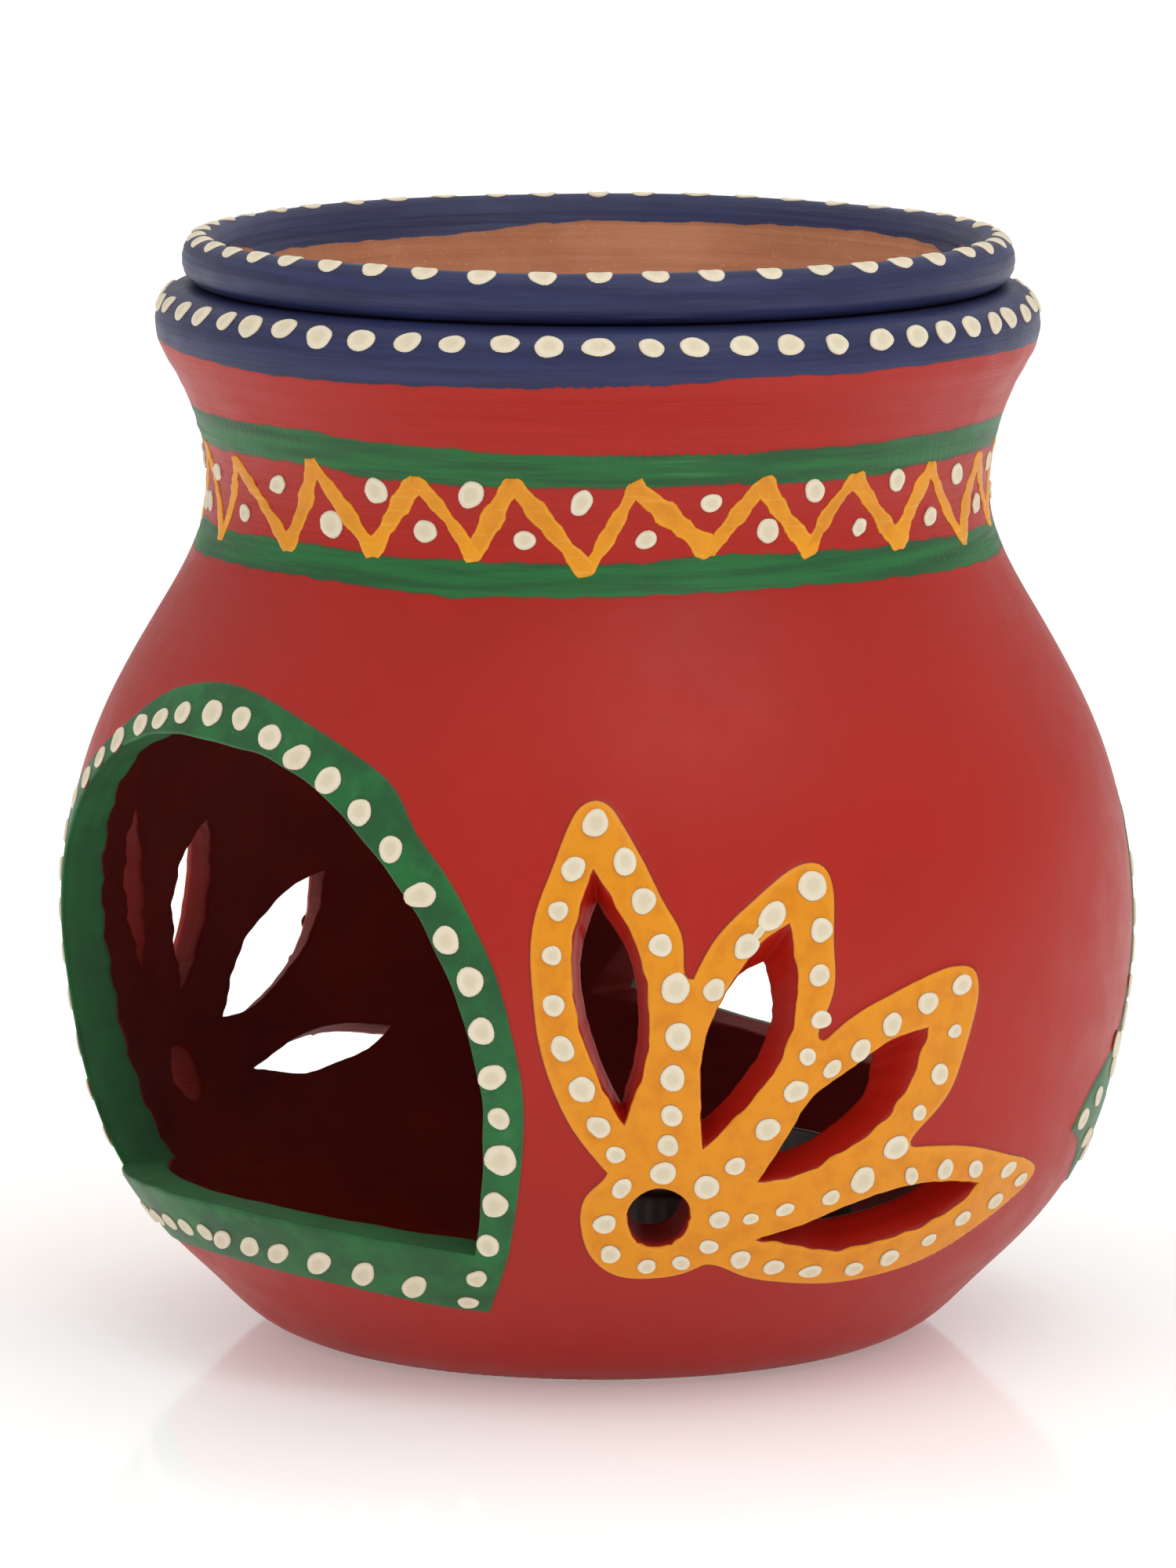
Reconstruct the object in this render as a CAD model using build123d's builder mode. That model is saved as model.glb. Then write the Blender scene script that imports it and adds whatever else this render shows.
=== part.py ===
from build123d import *
import os
from math import sin, cos, tan, atan2, radians

# Hand-thrown terracotta lamp pot with two arched windows, two cut-out lotus flowers,
# a shallow oil dish seated in its mouth, and a tealight standing on its floor.
# Origin: centre of the flat base. +Z up. The front window faces -Y. Millimetres.

os.makedirs("parts", exist_ok=True)

# ---- driving dimensions -------------------------------------------------------------
belly_r = 57.5            # outer radius at the belly
base_r = 33.2             # radius of the flat resting face
floor_z = 5.0             # top of the pot's floor
seat_z = 112.5            # top ring of the pot's mouth
lip_z = 118.0             # crest of the oil dish's lip
mouth_r = 40.6            # inner radius of the mouth
neck_inner_r = 37.5       # inner radius of the neck

window_1_half_w = 36.0    # front window, half width at its widest
window_1_top = 67.9
window_1_sill = 19.0      # sill height at the middle
window_1_corner = (31.0, 16.8)
window_2_half_w = 40.0    # back window, half width, at its corners
window_2_top = 67.5
window_2_sill = 20.5
window_2_corner_z = 26.5

petal_bevels = (15.0, 4.0)  # degrees each cut face leans, so the slots narrow inwards
dot_hole_r = 3.3          # round hole at the lotus's heart
lotus_2_shift = 3.5       # degrees the second lotus sits further from the front window

dish_seat_gap = 0.1       # under the dish's lip
dish_floor_z = 96.8
dish_wall = 3.4           # thickness of the dish floor

cup_r = 19.0              # tealight
cup_h = 13.0
cup_wall = 0.4
wax_fill = 9.2
wick_r = 0.7
wick_len = 15.2
sustainer_r = 7.5
candle_x, candle_y = 5.6, 7.0
candle_gap = 0.1          # under the tealight

# ---- pot shell ----------------------------------------------------------------------
outer_pts = [
    (base_r, 0.0), (36.3, 1.4), (41.4, 5.9), (47.4, 11.8), (51.7, 17.7), (54.3, 23.6),
    (56.2, 31.0), (57.25, 38.4), (belly_r, 45.5), (57.1, 51.3), (55.5, 59.2), (52.2, 68.0),
    (47.3, 76.9), (43.9, 82.8), (42.0, 88.2), (41.7, 91.8), (42.7, 97.6), (45.2, 103.5),
    (46.7, 106.2), (47.2, 108.6), (46.8, 110.5), (45.5, 112.0), (43.6, seat_z),
]
inner_pts = [
    (mouth_r, seat_z), (40.6, 109.5), (40.2, 105.0), (39.2, 99.0), (38.0, 94.0),
    (neck_inner_r, 90.3), (38.2, 85.8), (40.6, 81.0), (44.1, 75.3), (48.1, 68.2), (51.1, 60.2),
    (52.8, 52.0), (53.3, 45.4), (53.0, 38.4), (51.7, 30.5), (49.6, 23.8), (46.5, 17.4),
    (42.0, 11.9), (35.6, 7.4), (29.5, 5.4), (24.0, floor_z),
]


def surface_r(z):
    """outer radius at a height, straight between the profile's points"""
    for (r0, z0), (r1, z1) in zip(outer_pts, outer_pts[1:]):
        if z0 <= z <= z1:
            return r0 + (r1 - r0) * (z - z0) / (z1 - z0)
    return belly_r


def lean(z):
    """angle the wall's outward normal tips up at a height"""
    return atan2(surface_r(z - 1.5) - surface_r(z + 1.5), 3.0)


def wall_plane(phi, depth, z, sign):
    """a plane along the wall at angle phi from the front (-Y), depth outside its face;
    x runs away from the front, y runs up the wall"""
    a, tip = radians(phi) * sign, lean(z)
    out = Vector(sin(a) * cos(tip), -cos(a) * cos(tip), sin(tip))
    foot = Vector(sin(a) * surface_r(z), -cos(a) * surface_r(z), z)
    return Plane(
        origin=foot + out * depth,
        x_dir=Vector(cos(a), sin(a), 0) * sign,
        z_dir=out * sign,
    )


# lotus petals: (angle, height) of both tips and of a point on each curved side
petals = [
    ((54.5, 31.5), (51.2, 58.3), (48.9, 45.6), (57.0, 43.6)),
    ((62.6, 28.9), (72.2, 52.3), (64.1, 42.8), (71.6, 40.4)),
    ((69.5, 25.0), (88.6, 40.2), (77.0, 35.6), (81.0, 28.8)),
    ((70.2, 18.4), (100.2, 21.6), (85.6, 22.7), (86.0, 16.3)),
]
heart = (58.5, 21.3)

with BuildPart() as pot_body:
    with BuildSketch(Plane.XZ):
        with BuildLine():
            Line((0, 0), (base_r, 0))
            Spline(*outer_pts)
            Line((43.6, seat_z), (mouth_r, seat_z))
            Spline(*inner_pts, tangents=[(0, -1), (-1, 0)])
            Line((24.0, floor_z), (0, floor_z))
            Line((0, floor_z), (0, 0))
        make_face()
    revolve(axis=Axis.Z)

    # front window: an arch, widest a third of the way up, on a slightly crowned sill
    with BuildSketch(Plane(origin=(0, -20, 0), x_dir=(1, 0, 0), z_dir=(0, -1, 0))):
        with BuildLine():
            cx, cz = window_1_corner
            half = [
                (cx, cz), (33.4, 21.9), (35.4, 29.0), (window_1_half_w, 34.6), (35.6, 39.6),
                (34.3, 45.4), (32.0, 50.7), (28.8, 55.3), (24.9, 59.3), (20.6, 62.7),
                (15.4, 65.5), (8.5, 67.4),
            ]
            arch = half + [(0, window_1_top)] + [(-x, z) for x, z in reversed(half)]
            Spline(*arch)
            ThreePointArc((-cx, cz), (0, window_1_sill), (cx, cz))
        make_face()
    extrude(amount=50, mode=Mode.SUBTRACT)

    # back window: wider, with pointed corners and a dished sill
    with BuildSketch(Plane(origin=(0, 20, 0), x_dir=(-1, 0, 0), z_dir=(0, 1, 0))):
        with BuildLine():
            half = [
                (window_2_half_w, window_2_corner_z), (38.4, 34.0), (35.6, 42.0), (31.4, 49.6),
                (25.8, 56.4), (18.6, 62.2), (10.0, 66.0),
            ]
            arch = half + [(0, window_2_top)] + [(-x, z) for x, z in reversed(half)]
            Spline(*arch)
            ThreePointArc(
                (-window_2_half_w, window_2_corner_z), (0, window_2_sill),
                (window_2_half_w, window_2_corner_z),
            )
        make_face()
    extrude(amount=50, mode=Mode.SUBTRACT)

    # lotus cut-outs, one flower each side, cut square to the wall and bevelled inwards
    for sign in (1, -1):
        shift = 0 if sign == 1 else lotus_2_shift
        slope = tan(radians(petal_bevels[0 if sign == 1 else 1]))
        for tip_a, tip_b, side_1, side_2 in petals:
            phi_c = (tip_a[0] + tip_b[0]) / 2
            z_c = (tip_a[1] + tip_b[1]) / 2
            r_c, tip = surface_r(z_c), lean(z_c)
            pts, sag = [], []
            for phi, z in (tip_a, side_1, tip_b, side_2):
                r, d = surface_r(z), radians(phi - phi_c)
                dr, dz = r * cos(d) - r_c, z - z_c
                pts.append(Vector(r * sin(d), dz * cos(tip) - dr * sin(tip), 0))
                sag.append(dr * cos(tip) + dz * sin(tip))
            mid = (pts[0] + pts[2]) / 2
            long_dir = (pts[2] - pts[0]).normalized()
            side_dirs = [(pts[1] - mid).normalized(), (pts[3] - mid).normalized()]
            for depth in (6.0, -9.5):
                grow = [(depth - s) * slope for s in sag]
                a = pts[0] - long_dir * grow[0] * 1.5
                p = pts[1] + side_dirs[0] * grow[1]
                b = pts[2] + long_dir * grow[2] * 1.5
                q = pts[3] + side_dirs[1] * grow[3]
                with BuildSketch(wall_plane(phi_c + shift, depth, z_c, sign)):
                    with BuildLine():
                        ThreePointArc((a.X, a.Y), (p.X, p.Y), (b.X, b.Y))
                        ThreePointArc((b.X, b.Y), (q.X, q.Y), (a.X, a.Y))
                    make_face()
            loft(ruled=True, mode=Mode.SUBTRACT)
        with BuildSketch(wall_plane(heart[0] + shift, 0, heart[1], sign)):
            Circle(dot_hole_r)
        extrude(amount=12, both=True, mode=Mode.SUBTRACT)
pot_body.part.label = "pot_body"
export_step(pot_body.part, "parts/pot_body.step")

# ---- oil dish -----------------------------------------------------------------------
dish_seat = seat_z + dish_seat_gap
with BuildPart() as oil_dish:
    with BuildSketch(Plane.XZ):
        with BuildLine():
            Line((0, dish_floor_z), (20.0, dish_floor_z))
            Spline(
                (20.0, dish_floor_z), (28.5, 98.2), (34.6, 102.2), (38.2, 107.6), (39.8, 111.6),
                tangents=[(1, 0), (0.3, 1)],
            )
            Line((39.8, 111.6), (40.2, dish_seat))
            Line((40.2, dish_seat), (42.7, dish_seat))
            Spline(
                (42.7, dish_seat), (43.9, 113.4), (44.45, 115.2), (44.1, 116.8), (42.6, lip_z),
                (41.0, 117.2), (39.9, 115.0),
                tangents=[(1, 0.1), (-0.4, -1)],
            )
            Spline(
                (39.9, 115.0), (37.6, 111.0), (34.9, 107.4), (31.0, 103.9), (25.4, 101.3),
                (19.0, dish_floor_z + dish_wall),
                tangents=[(-0.4, -1), (-1, 0)],
            )
            Line((19.0, dish_floor_z + dish_wall), (0, dish_floor_z + dish_wall))
            Line((0, dish_floor_z + dish_wall), (0, dish_floor_z))
        make_face()
    revolve(axis=Axis.Z)
oil_dish.part.label = "oil_dish"
export_step(oil_dish.part, "parts/oil_dish.step")

# ---- tealight -----------------------------------------------------------------------
cup_z = floor_z + candle_gap
with BuildPart() as tealight_cup:
    with BuildSketch(Plane.XZ.offset(-candle_y)):
        with BuildLine():
            z0, z1 = cup_z, cup_z + cup_h
            Polyline(
                (candle_x, z0), (candle_x + cup_r - 1.0, z0), (candle_x + cup_r - 0.2, z0 + 0.8),
                (candle_x + cup_r - 0.2, z1 - 0.9), (candle_x + cup_r + 0.2, z1 - 0.7),
                (candle_x + cup_r + 0.2, z1 - 0.2), (candle_x + cup_r, z1),
                (candle_x + cup_r - 0.4, z1), (candle_x + cup_r - 0.2 - cup_wall, z1 - 0.4),
                (candle_x + cup_r - 0.2 - cup_wall, z0 + 1.0),
                (candle_x + cup_r - 1.2, z0 + cup_wall), (candle_x, z0 + cup_wall), close=True,
            )
        make_face()
    revolve(axis=Axis((candle_x, candle_y, 0), (0, 0, 1)))
tealight_cup.part.label = "tealight_cup"
export_step(tealight_cup.part, "parts/tealight_cup.step")

sust_z = cup_z + cup_wall + 0.02
with BuildPart() as wick_sustainer:
    with BuildSketch(Plane.XY.offset(sust_z)):
        with Locations((candle_x, candle_y)):
            Circle(sustainer_r)
    extrude(amount=0.3)
    with BuildSketch(Plane.XY.offset(sust_z + 0.3)):
        with Locations((candle_x, candle_y)):
            Circle(wick_r + 0.5)
    extrude(amount=4.0)
    with BuildSketch(Plane.XY.offset(sust_z + 0.3)):
        with Locations((candle_x, candle_y)):
            Circle(wick_r + 0.02)
    extrude(amount=5.0, mode=Mode.SUBTRACT)
wick_sustainer.part.label = "wick_sustainer"
export_step(wick_sustainer.part, "parts/wick_sustainer.step")

wick_z = sust_z + 0.32
with BuildPart() as tealight_wick:
    with BuildSketch(Plane.XY.offset(wick_z)):
        with Locations((candle_x, candle_y)):
            Circle(wick_r)
    extrude(amount=wick_len)
tealight_wick.part.label = "tealight_wick"
export_step(tealight_wick.part, "parts/tealight_wick.step")

wax_z = cup_z + cup_wall + 0.02
with BuildPart() as tealight_wax:
    with BuildSketch(Plane.XZ.offset(-candle_y)):
        with BuildLine():
            rw = cup_r - 0.2 - cup_wall - 0.05
            top = cup_z + wax_fill
            Polyline(
                (candle_x, wax_z), (candle_x + rw - 0.8, wax_z), (candle_x + rw, wax_z + 0.9),
                (candle_x + rw, top), (candle_x + rw - 1.2, top - 0.35), (candle_x, top - 0.5),
                close=True,
            )
        make_face()
    revolve(axis=Axis((candle_x, candle_y, 0), (0, 0, 1)))
    with BuildSketch(Plane.XY.offset(wax_z - 0.5)):
        with Locations((candle_x, candle_y)):
            Circle(sustainer_r + 0.03)
    extrude(amount=0.5 + 0.34, mode=Mode.SUBTRACT)
    with BuildSketch(Plane.XY.offset(wax_z)):
        with Locations((candle_x, candle_y)):
            Circle(wick_r + 0.53)
    extrude(amount=4.36, mode=Mode.SUBTRACT)
    with BuildSketch(Plane.XY.offset(wax_z)):
        with Locations((candle_x, candle_y)):
            Circle(wick_r + 0.02)
    extrude(amount=20.0, mode=Mode.SUBTRACT)
tealight_wax.part.label = "tealight_wax"
export_step(tealight_wax.part, "parts/tealight_wax.step")

for piece in (pot_body, oil_dish, tealight_cup, wick_sustainer, tealight_wick, tealight_wax):
    box = piece.part.bounding_box()
    print(piece.part.label, round(piece.part.volume, 1), box.min, box.max, len(piece.part.solids()))
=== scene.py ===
import math

import bmesh
import bpy
import numpy as np
from mathutils import Matrix, Vector
from mathutils.geometry import delaunay_2d_cdt


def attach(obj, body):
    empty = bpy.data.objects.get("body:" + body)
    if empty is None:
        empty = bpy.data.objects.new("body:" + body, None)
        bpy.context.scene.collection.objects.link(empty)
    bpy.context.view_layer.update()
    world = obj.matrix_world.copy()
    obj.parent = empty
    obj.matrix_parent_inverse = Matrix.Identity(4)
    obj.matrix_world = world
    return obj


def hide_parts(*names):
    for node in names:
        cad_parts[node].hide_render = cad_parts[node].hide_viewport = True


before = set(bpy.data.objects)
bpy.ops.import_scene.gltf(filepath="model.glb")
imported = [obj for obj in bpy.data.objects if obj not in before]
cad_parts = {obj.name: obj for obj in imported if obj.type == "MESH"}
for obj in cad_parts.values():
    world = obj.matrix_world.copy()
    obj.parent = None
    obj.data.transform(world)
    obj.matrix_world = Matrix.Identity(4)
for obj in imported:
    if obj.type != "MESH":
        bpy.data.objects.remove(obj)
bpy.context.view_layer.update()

scene = bpy.context.scene
MM = 0.001
K = 50.0                      # millimetres per radian where the shell is laid out flat
SEAM = math.radians(-116.8)   # the shell's seam, where nothing is painted
TAU = 2 * math.pi
rng = np.random.default_rng(7)

# =====================================================================================
# curves
# =====================================================================================


def spline(pts, step=0.2, closed=False):
    """Points evenly spaced along a cubic spline through pts."""
    p = np.array(pts, float)
    if closed:
        p = np.vstack([p, p[:1]])
    h = np.linalg.norm(np.diff(p, axis=0), axis=1)
    t = np.r_[0, np.cumsum(h)]
    n = len(p)
    if closed:
        m = n - 1
        a, b = np.zeros((m, m)), np.zeros((m, p.shape[1]))
        for i in range(m):
            hm, hp = h[i - 1], h[i]
            a[i, (i - 1) % m] += hm / 6
            a[i, i] += (hm + hp) / 3
            a[i, (i + 1) % m] += hp / 6
            b[i] = (p[i + 1] - p[i]) / hp - (p[i] - p[(i - 1) % m]) / hm
        q = np.linalg.solve(a, b)
        q = np.vstack([q, q[:1]])
    else:
        a, b = np.zeros((n, n)), np.zeros((n, p.shape[1]))
        a[0, 0] = a[-1, -1] = 1
        for i in range(1, n - 1):
            a[i, i - 1], a[i, i], a[i, i + 1] = h[i - 1] / 6, (h[i - 1] + h[i]) / 3, h[i] / 6
            b[i] = (p[i + 1] - p[i]) / h[i] - (p[i] - p[i - 1]) / h[i - 1]
        q = np.linalg.solve(a, b)
    u = np.linspace(0, t[-1], max(int(t[-1] / 0.04), 20))
    k = np.clip(np.searchsorted(t, u, side="right") - 1, 0, n - 2)
    w, hh = (t[k + 1] - u), h[k]
    v = u - t[k]
    x = (
        q[k] * (w**3 / (6 * hh))[:, None] + q[k + 1] * (v**3 / (6 * hh))[:, None]
        + (p[k] / hh[:, None] - q[k] * (hh / 6)[:, None]) * w[:, None]
        + (p[k + 1] / hh[:, None] - q[k + 1] * (hh / 6)[:, None]) * v[:, None]
    )
    return even(x, step)


def even(x, step):
    """The same line with its points evenly spaced."""
    d = np.r_[0, np.cumsum(np.linalg.norm(np.diff(x, axis=0), axis=1))]
    n = max(int(round(d[-1] / step)), 3)
    u = np.linspace(0, d[-1], n + 1)
    return np.stack([np.interp(u, d, x[:, k]) for k in range(x.shape[1])], 1)


def blur(x, sigma):
    """Gaussian smoothing of a line's samples, its ends held."""
    n = int(4 * sigma) + 1
    k = np.exp(-0.5 * (np.arange(-n, n + 1) / sigma) ** 2)
    k /= k.sum()
    y = np.r_[2 * x[0] - x[n:0:-1], x, 2 * x[-1] - x[-2:-n - 2:-1]]
    return np.convolve(y, k, "valid")


def smooth(e0, e1, x):
    t = np.clip((np.asarray(x, float) - e0) / (e1 - e0), 0, 1)
    return t * t * (3 - 2 * t)


def ripple(x, seed, amp, periods):
    """A sum of sines of the given whole numbers of turns, for angles x in radians."""
    g = np.random.default_rng(seed)
    out = np.zeros_like(np.asarray(x, float))
    for n in periods:
        out = out + g.uniform(0.5, 1.0) * np.sin(n * x + g.uniform(0, TAU))
    return out * amp / math.sqrt(len(periods))


# =====================================================================================
# the pot's wall: one profile from the middle of its base, up the outside, over the rim
# and down the inside to the middle of its floor
# =====================================================================================

OUTER = [
    (33.2, 0.0), (36.3, 1.4), (41.4, 5.9), (47.4, 11.8), (51.7, 17.7), (54.3, 23.6),
    (56.2, 31.0), (57.25, 38.4), (57.5, 45.5), (57.1, 51.3), (55.5, 59.2), (52.2, 68.0),
    (47.3, 76.9), (43.9, 82.8), (42.0, 88.2), (41.7, 91.8), (42.7, 97.6), (45.2, 103.5),
    (46.7, 106.2), (47.2, 108.6), (46.8, 110.5), (45.5, 112.0), (43.6, 112.5),
]
INNER = [
    (40.6, 112.5), (40.6, 109.5), (40.2, 105.0), (39.2, 99.0), (38.0, 94.0),
    (37.5, 90.3), (38.2, 85.8), (40.6, 81.0), (44.1, 75.3), (48.1, 68.2), (51.1, 60.2),
    (52.8, 52.0), (53.3, 45.4), (53.0, 38.4), (51.7, 30.5), (49.6, 23.8), (46.5, 17.4),
    (42.0, 11.9), (35.6, 7.4), (29.5, 5.4), (24.0, 5.0),
]
_base = even(np.array([(0.8, 0.0), (33.2, 0.0)]), 0.05)
_out = spline(OUTER, 0.05)
_seat = even(np.array([(43.6, 112.5), (40.6, 112.5)]), 0.05)
_in = spline(INNER, 0.05)
_floor = even(np.array([(24.0, 5.0), (0.8, 5.0)]), 0.05)
_all = np.vstack([_base, _out[1:], _seat[1:], _in[1:], _floor[1:]])
_all = even(_all, 0.05)
PR, PZ = blur(_all[:, 0], 6), np.maximum(blur(_all[:, 1], 6), 0.0)
PS = np.r_[0, np.cumsum(np.hypot(np.diff(PR), np.diff(PZ)))]
_tr, _tz = np.gradient(PR, PS), np.gradient(PZ, PS)
_tl = np.hypot(_tr, _tz)
NR, NZ = _tz / _tl, -_tr / _tl
S_END = PS[-1]
_top = int(np.argmax(PZ))
_o = np.arange(len(PZ)) < _top
_rise = np.where(_o & (PZ > 0.02))[0]
_fall = np.where(~_o & (PZ > 5.001))[0]
_fall = _fall[np.argsort(PZ[_fall], kind="stable")]
S_BASE, S_RIM, S_SEAT = PS[_rise[0]], float(np.interp(112.2, PZ[_rise], PS[_rise])), PS[_top]


def s_out(z):
    return np.interp(z, PZ[_rise], PS[_rise])


def s_in(z):
    return np.interp(z, PZ[_fall], PS[_fall])


def prof(s):
    return np.interp(s, PS, PR), np.interp(s, PS, PZ)


def wall_r(z):
    return np.interp(z, PZ[_rise], PR[_rise])


def wall_r_in(z):
    return np.interp(z, PZ[_fall], PR[_fall])


def wobble(phi, z):
    """A hand-thrown wall is never quite round."""
    w = 0.16 * np.sin(2 * phi + 0.6 + z / 60) + 0.10 * np.sin(3 * phi - z / 45 + 2.0)
    w += 0.05 * np.sin(5 * phi + z / 14) + 0.04 * np.sin(z / 3.1 + 0.5 * np.sin(phi))
    return w * smooth(0.5, 12, z) * (1 - 0.75 * smooth(100, 110, z))


def surf(phi, s, h=0.0):
    """The wall's point at an angle from the front and a distance along the profile, h out from it."""
    phi, s = np.asarray(phi, float), np.asarray(s, float)
    r, z = prof(s)
    nr, nz = np.interp(s, PS, NR), np.interp(s, PS, NZ)
    r = r + wobble(phi, z) + h * nr
    z = z + h * nz
    return np.stack([r * np.sin(phi), -r * np.cos(phi), z], -1)


# =====================================================================================
# what is cut and painted, as angle from the front in degrees and height in millimetres
# =====================================================================================


def to_flat(pts, inside=False):
    """(degrees, height) to (radians, distance along the profile)."""
    p = np.array(pts, float)
    return np.stack([np.radians(p[:, 0]), (s_in if inside else s_out)(p[:, 1])], 1)


def flat_mm(p):
    return np.stack([p[:, 0] * K, p[:, 1]], 1)


def cut_noise(line, seed, amp):
    """Moves a closed line in and out a little, as a hand-held knife does."""
    n = len(line)
    a = np.linspace(0, TAU, n, endpoint=False)
    t = np.roll(line, -1, 0) - np.roll(line, 1, 0)
    t /= np.maximum(np.linalg.norm(t, axis=1), 1e-9)[:, None]
    nrm = np.stack([t[:, 1], -t[:, 0]], 1)
    return line + nrm * ripple(a, seed, amp, (7, 11, 17, 23, 31))[:, None]


def arc3(a, m, b, step):
    """A circle's arc from a to b through m."""
    a, m, b = (np.array(v, float) for v in (a, m, b))
    d = 2 * (a[0] * (m[1] - b[1]) + m[0] * (b[1] - a[1]) + b[0] * (a[1] - m[1]))
    sq = [v @ v for v in (a, m, b)]
    c = np.array([
        (sq[0] * (m[1] - b[1]) + sq[1] * (b[1] - a[1]) + sq[2] * (a[1] - m[1])) / d,
        (sq[0] * (b[0] - m[0]) + sq[1] * (a[0] - b[0]) + sq[2] * (m[0] - a[0])) / d,
    ])
    r = np.linalg.norm(a - c)
    g0, g1 = math.atan2(*(a - c)[::-1]), math.atan2(*(b - c)[::-1])
    g = np.linspace(g0, g1, max(int(abs(g1 - g0) * r / step), 4))
    return np.stack([c[0] + r * np.cos(g), c[1] + r * np.sin(g)], 1)


W1_HALF = [(31.0, 16.8), (33.4, 21.9), (35.4, 29.0), (36.0, 34.6), (35.6, 39.6), (34.3, 45.4),
           (32.0, 50.7), (28.8, 55.3), (24.9, 59.3), (20.6, 62.7), (15.4, 65.5), (8.5, 67.4)]
W2_HALF = [(40.0, 26.5), (38.4, 34.0), (35.6, 42.0), (31.4, 49.6), (25.8, 56.4), (18.6, 62.2),
           (10.0, 66.0)]


def window(half, top, sill, seed, back=False):
    """A straight-cut arched window: its outline outside and inside, point for point."""
    pts = half + [(0, top)] + [(-x, z) for x, z in reversed(half)]
    arch = spline(pts, 0.75)
    low = arc3(arch[-1], (0, sill), arch[0], 0.75)
    loop = cut_noise(np.vstack([arch[:-1], low[:-1]]), seed, 0.09)
    x, z = loop[:, 0], loop[:, 1]
    mid = math.pi if back else 0.0
    z_out = z
    out = np.stack([mid + np.arcsin(np.clip(x / wall_r(z), -1, 1)), s_out(z_out)], 1)
    ins = np.stack([mid + np.arcsin(np.clip(x / wall_r_in(z), -1, 1)), s_in(z)], 1)
    return out, ins


def sections(*parts, step=0.5):
    """A closed line of smooth stretches that meet in corners."""
    lines = [spline(p, step)[:-1] if len(p) > 2 else even(np.array(p, float), step)[:-1] for p in parts]
    return np.vstack(lines)


def paint_line(parts, mirror=False, step=0.5):
    """A painted outline in (radians, along the profile), from stretches in (degrees, height)."""
    flat = [flat_mm(to_flat(p)) for p in parts]
    joined = [np.vstack([f, flat[(i + 1) % len(flat)][:1]]) for i, f in enumerate(flat)]
    line = sections(*joined, step=step)
    line = np.stack([line[:, 0] / K, line[:, 1]], 1)
    if mirror:
        line[:, 0] = -line[:, 0] - math.radians(3.5)
        line = line[::-1]
    return line


T = 51.5
LOTUS = [
    [(1.3, 26.5), (-2.3, 31.1), (-4.4, 35.5), (-5.9, 40.9), (-6.5, 46.1), (-6.7, 50.0),
     (-6.2, 53.8), (-4.5, 58.5), (-2.6, 63.1), (-1.4, 64.5), (0.1, 64.9), (1.5, 64.3), (2.6, 62.9),
     (5.2, 58.5), (7.3, 54.3), (9.0, 50.0), (9.8, 46.9)],
    [(10.0, 46.9), (12.5, 51.1), (15.7, 54.0), (19.6, 56.8), (22.9, 58.1), (24.5, 57.8), (25.4, 56.5),
     (25.6, 53.9), (25.3, 48.8), (24.7, 43.6), (24.0, 39.8)],
    [(24.3, 39.8), (26.8, 41.7), (31.7, 43.9), (37.1, 45.6), (41.7, 46.0), (43.0, 45.5), (43.7, 43.9),
     (43.3, 40.9), (41.8, 35.7), (39.1, 31.0), (36.4, 27.3)],
    [(36.7, 27.2), (39.4, 27.0), (45.4, 26.2), (53.2, 24.1), (58.2, 22.6), (59.9, 21.3), (59.0, 20.0),
     (56.9, 18.7), (50.9, 15.8), (45.2, 13.6), (38.5, 12.5), (30.8, 12.2), (23.3, 13.0),
     (17.3, 14.4), (13.1, 15.8)],
    [(12.8, 15.8), (10.5, 14.8), (7.0, 14.3), (2.5, 14.7), (-0.5, 17.0), (-1.6, 20.4),
     (-0.9, 24.1), (1.2, 26.3)],
]
LOTUS = [[(a + T, z) for a, z in part] for part in LOTUS]
PETALS = [
    [[(3.0, 31.6), (1.2, 34.7), (-0.7, 39.2), (-2.0, 43.6), (-2.5, 47.9), (-2.4, 50.9), (-1.7, 54.3), (-0.3, 58.2)],
     [(-0.3, 58.2), (1.7, 55.0), (3.6, 51.8), (4.9, 47.9), (5.4, 43.6), (5.2, 39.1), (4.3, 35.6), (3.0, 31.6)]],
    [[(11.4, 29.0), (10.9, 35.9), (11.2, 40.3), (12.5, 43.8), (14.6, 47.2), (17.5, 50.5), (20.5, 52.3)],
     [(20.5, 52.3), (21.2, 47.3), (20.8, 42.6), (19.6, 38.6), (17.2, 34.7), (14.0, 31.2), (11.4, 29.0)]],
    [[(17.8, 25.0), (20.9, 30.0), (23.4, 33.9), (27.1, 36.3), (31.9, 39.0), (37.2, 40.2)],
     [(37.2, 40.2), (34.7, 33.7), (32.0, 30.4), (27.6, 27.6), (23.3, 25.6), (17.8, 25.0)]],
    [[(18.7, 18.4), (23.3, 19.5), (28.9, 21.3), (34.7, 22.6), (40.7, 22.8), (48.8, 21.6)],
     [(48.8, 21.6), (45.9, 19.4), (42.4, 18.0), (36.1, 16.8), (29.9, 16.1), (23.8, 17.3), (18.7, 18.4)]],
]
PETALS = [[[(a + T, z) for a, z in side] for side in p] for p in PETALS]
PETALS_2 = list(PETALS)
PETALS_2[2] = [[(69.6, 25.4), (72.6, 30.0), (75.4, 34.2), (79.2, 37.2), (84.2, 40.2), (90.8, 41.8)],
               [(90.8, 41.8), (89.2, 34.2), (86.0, 30.2), (80.8, 27.0), (75.6, 25.2), (69.6, 25.4)]]
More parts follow.
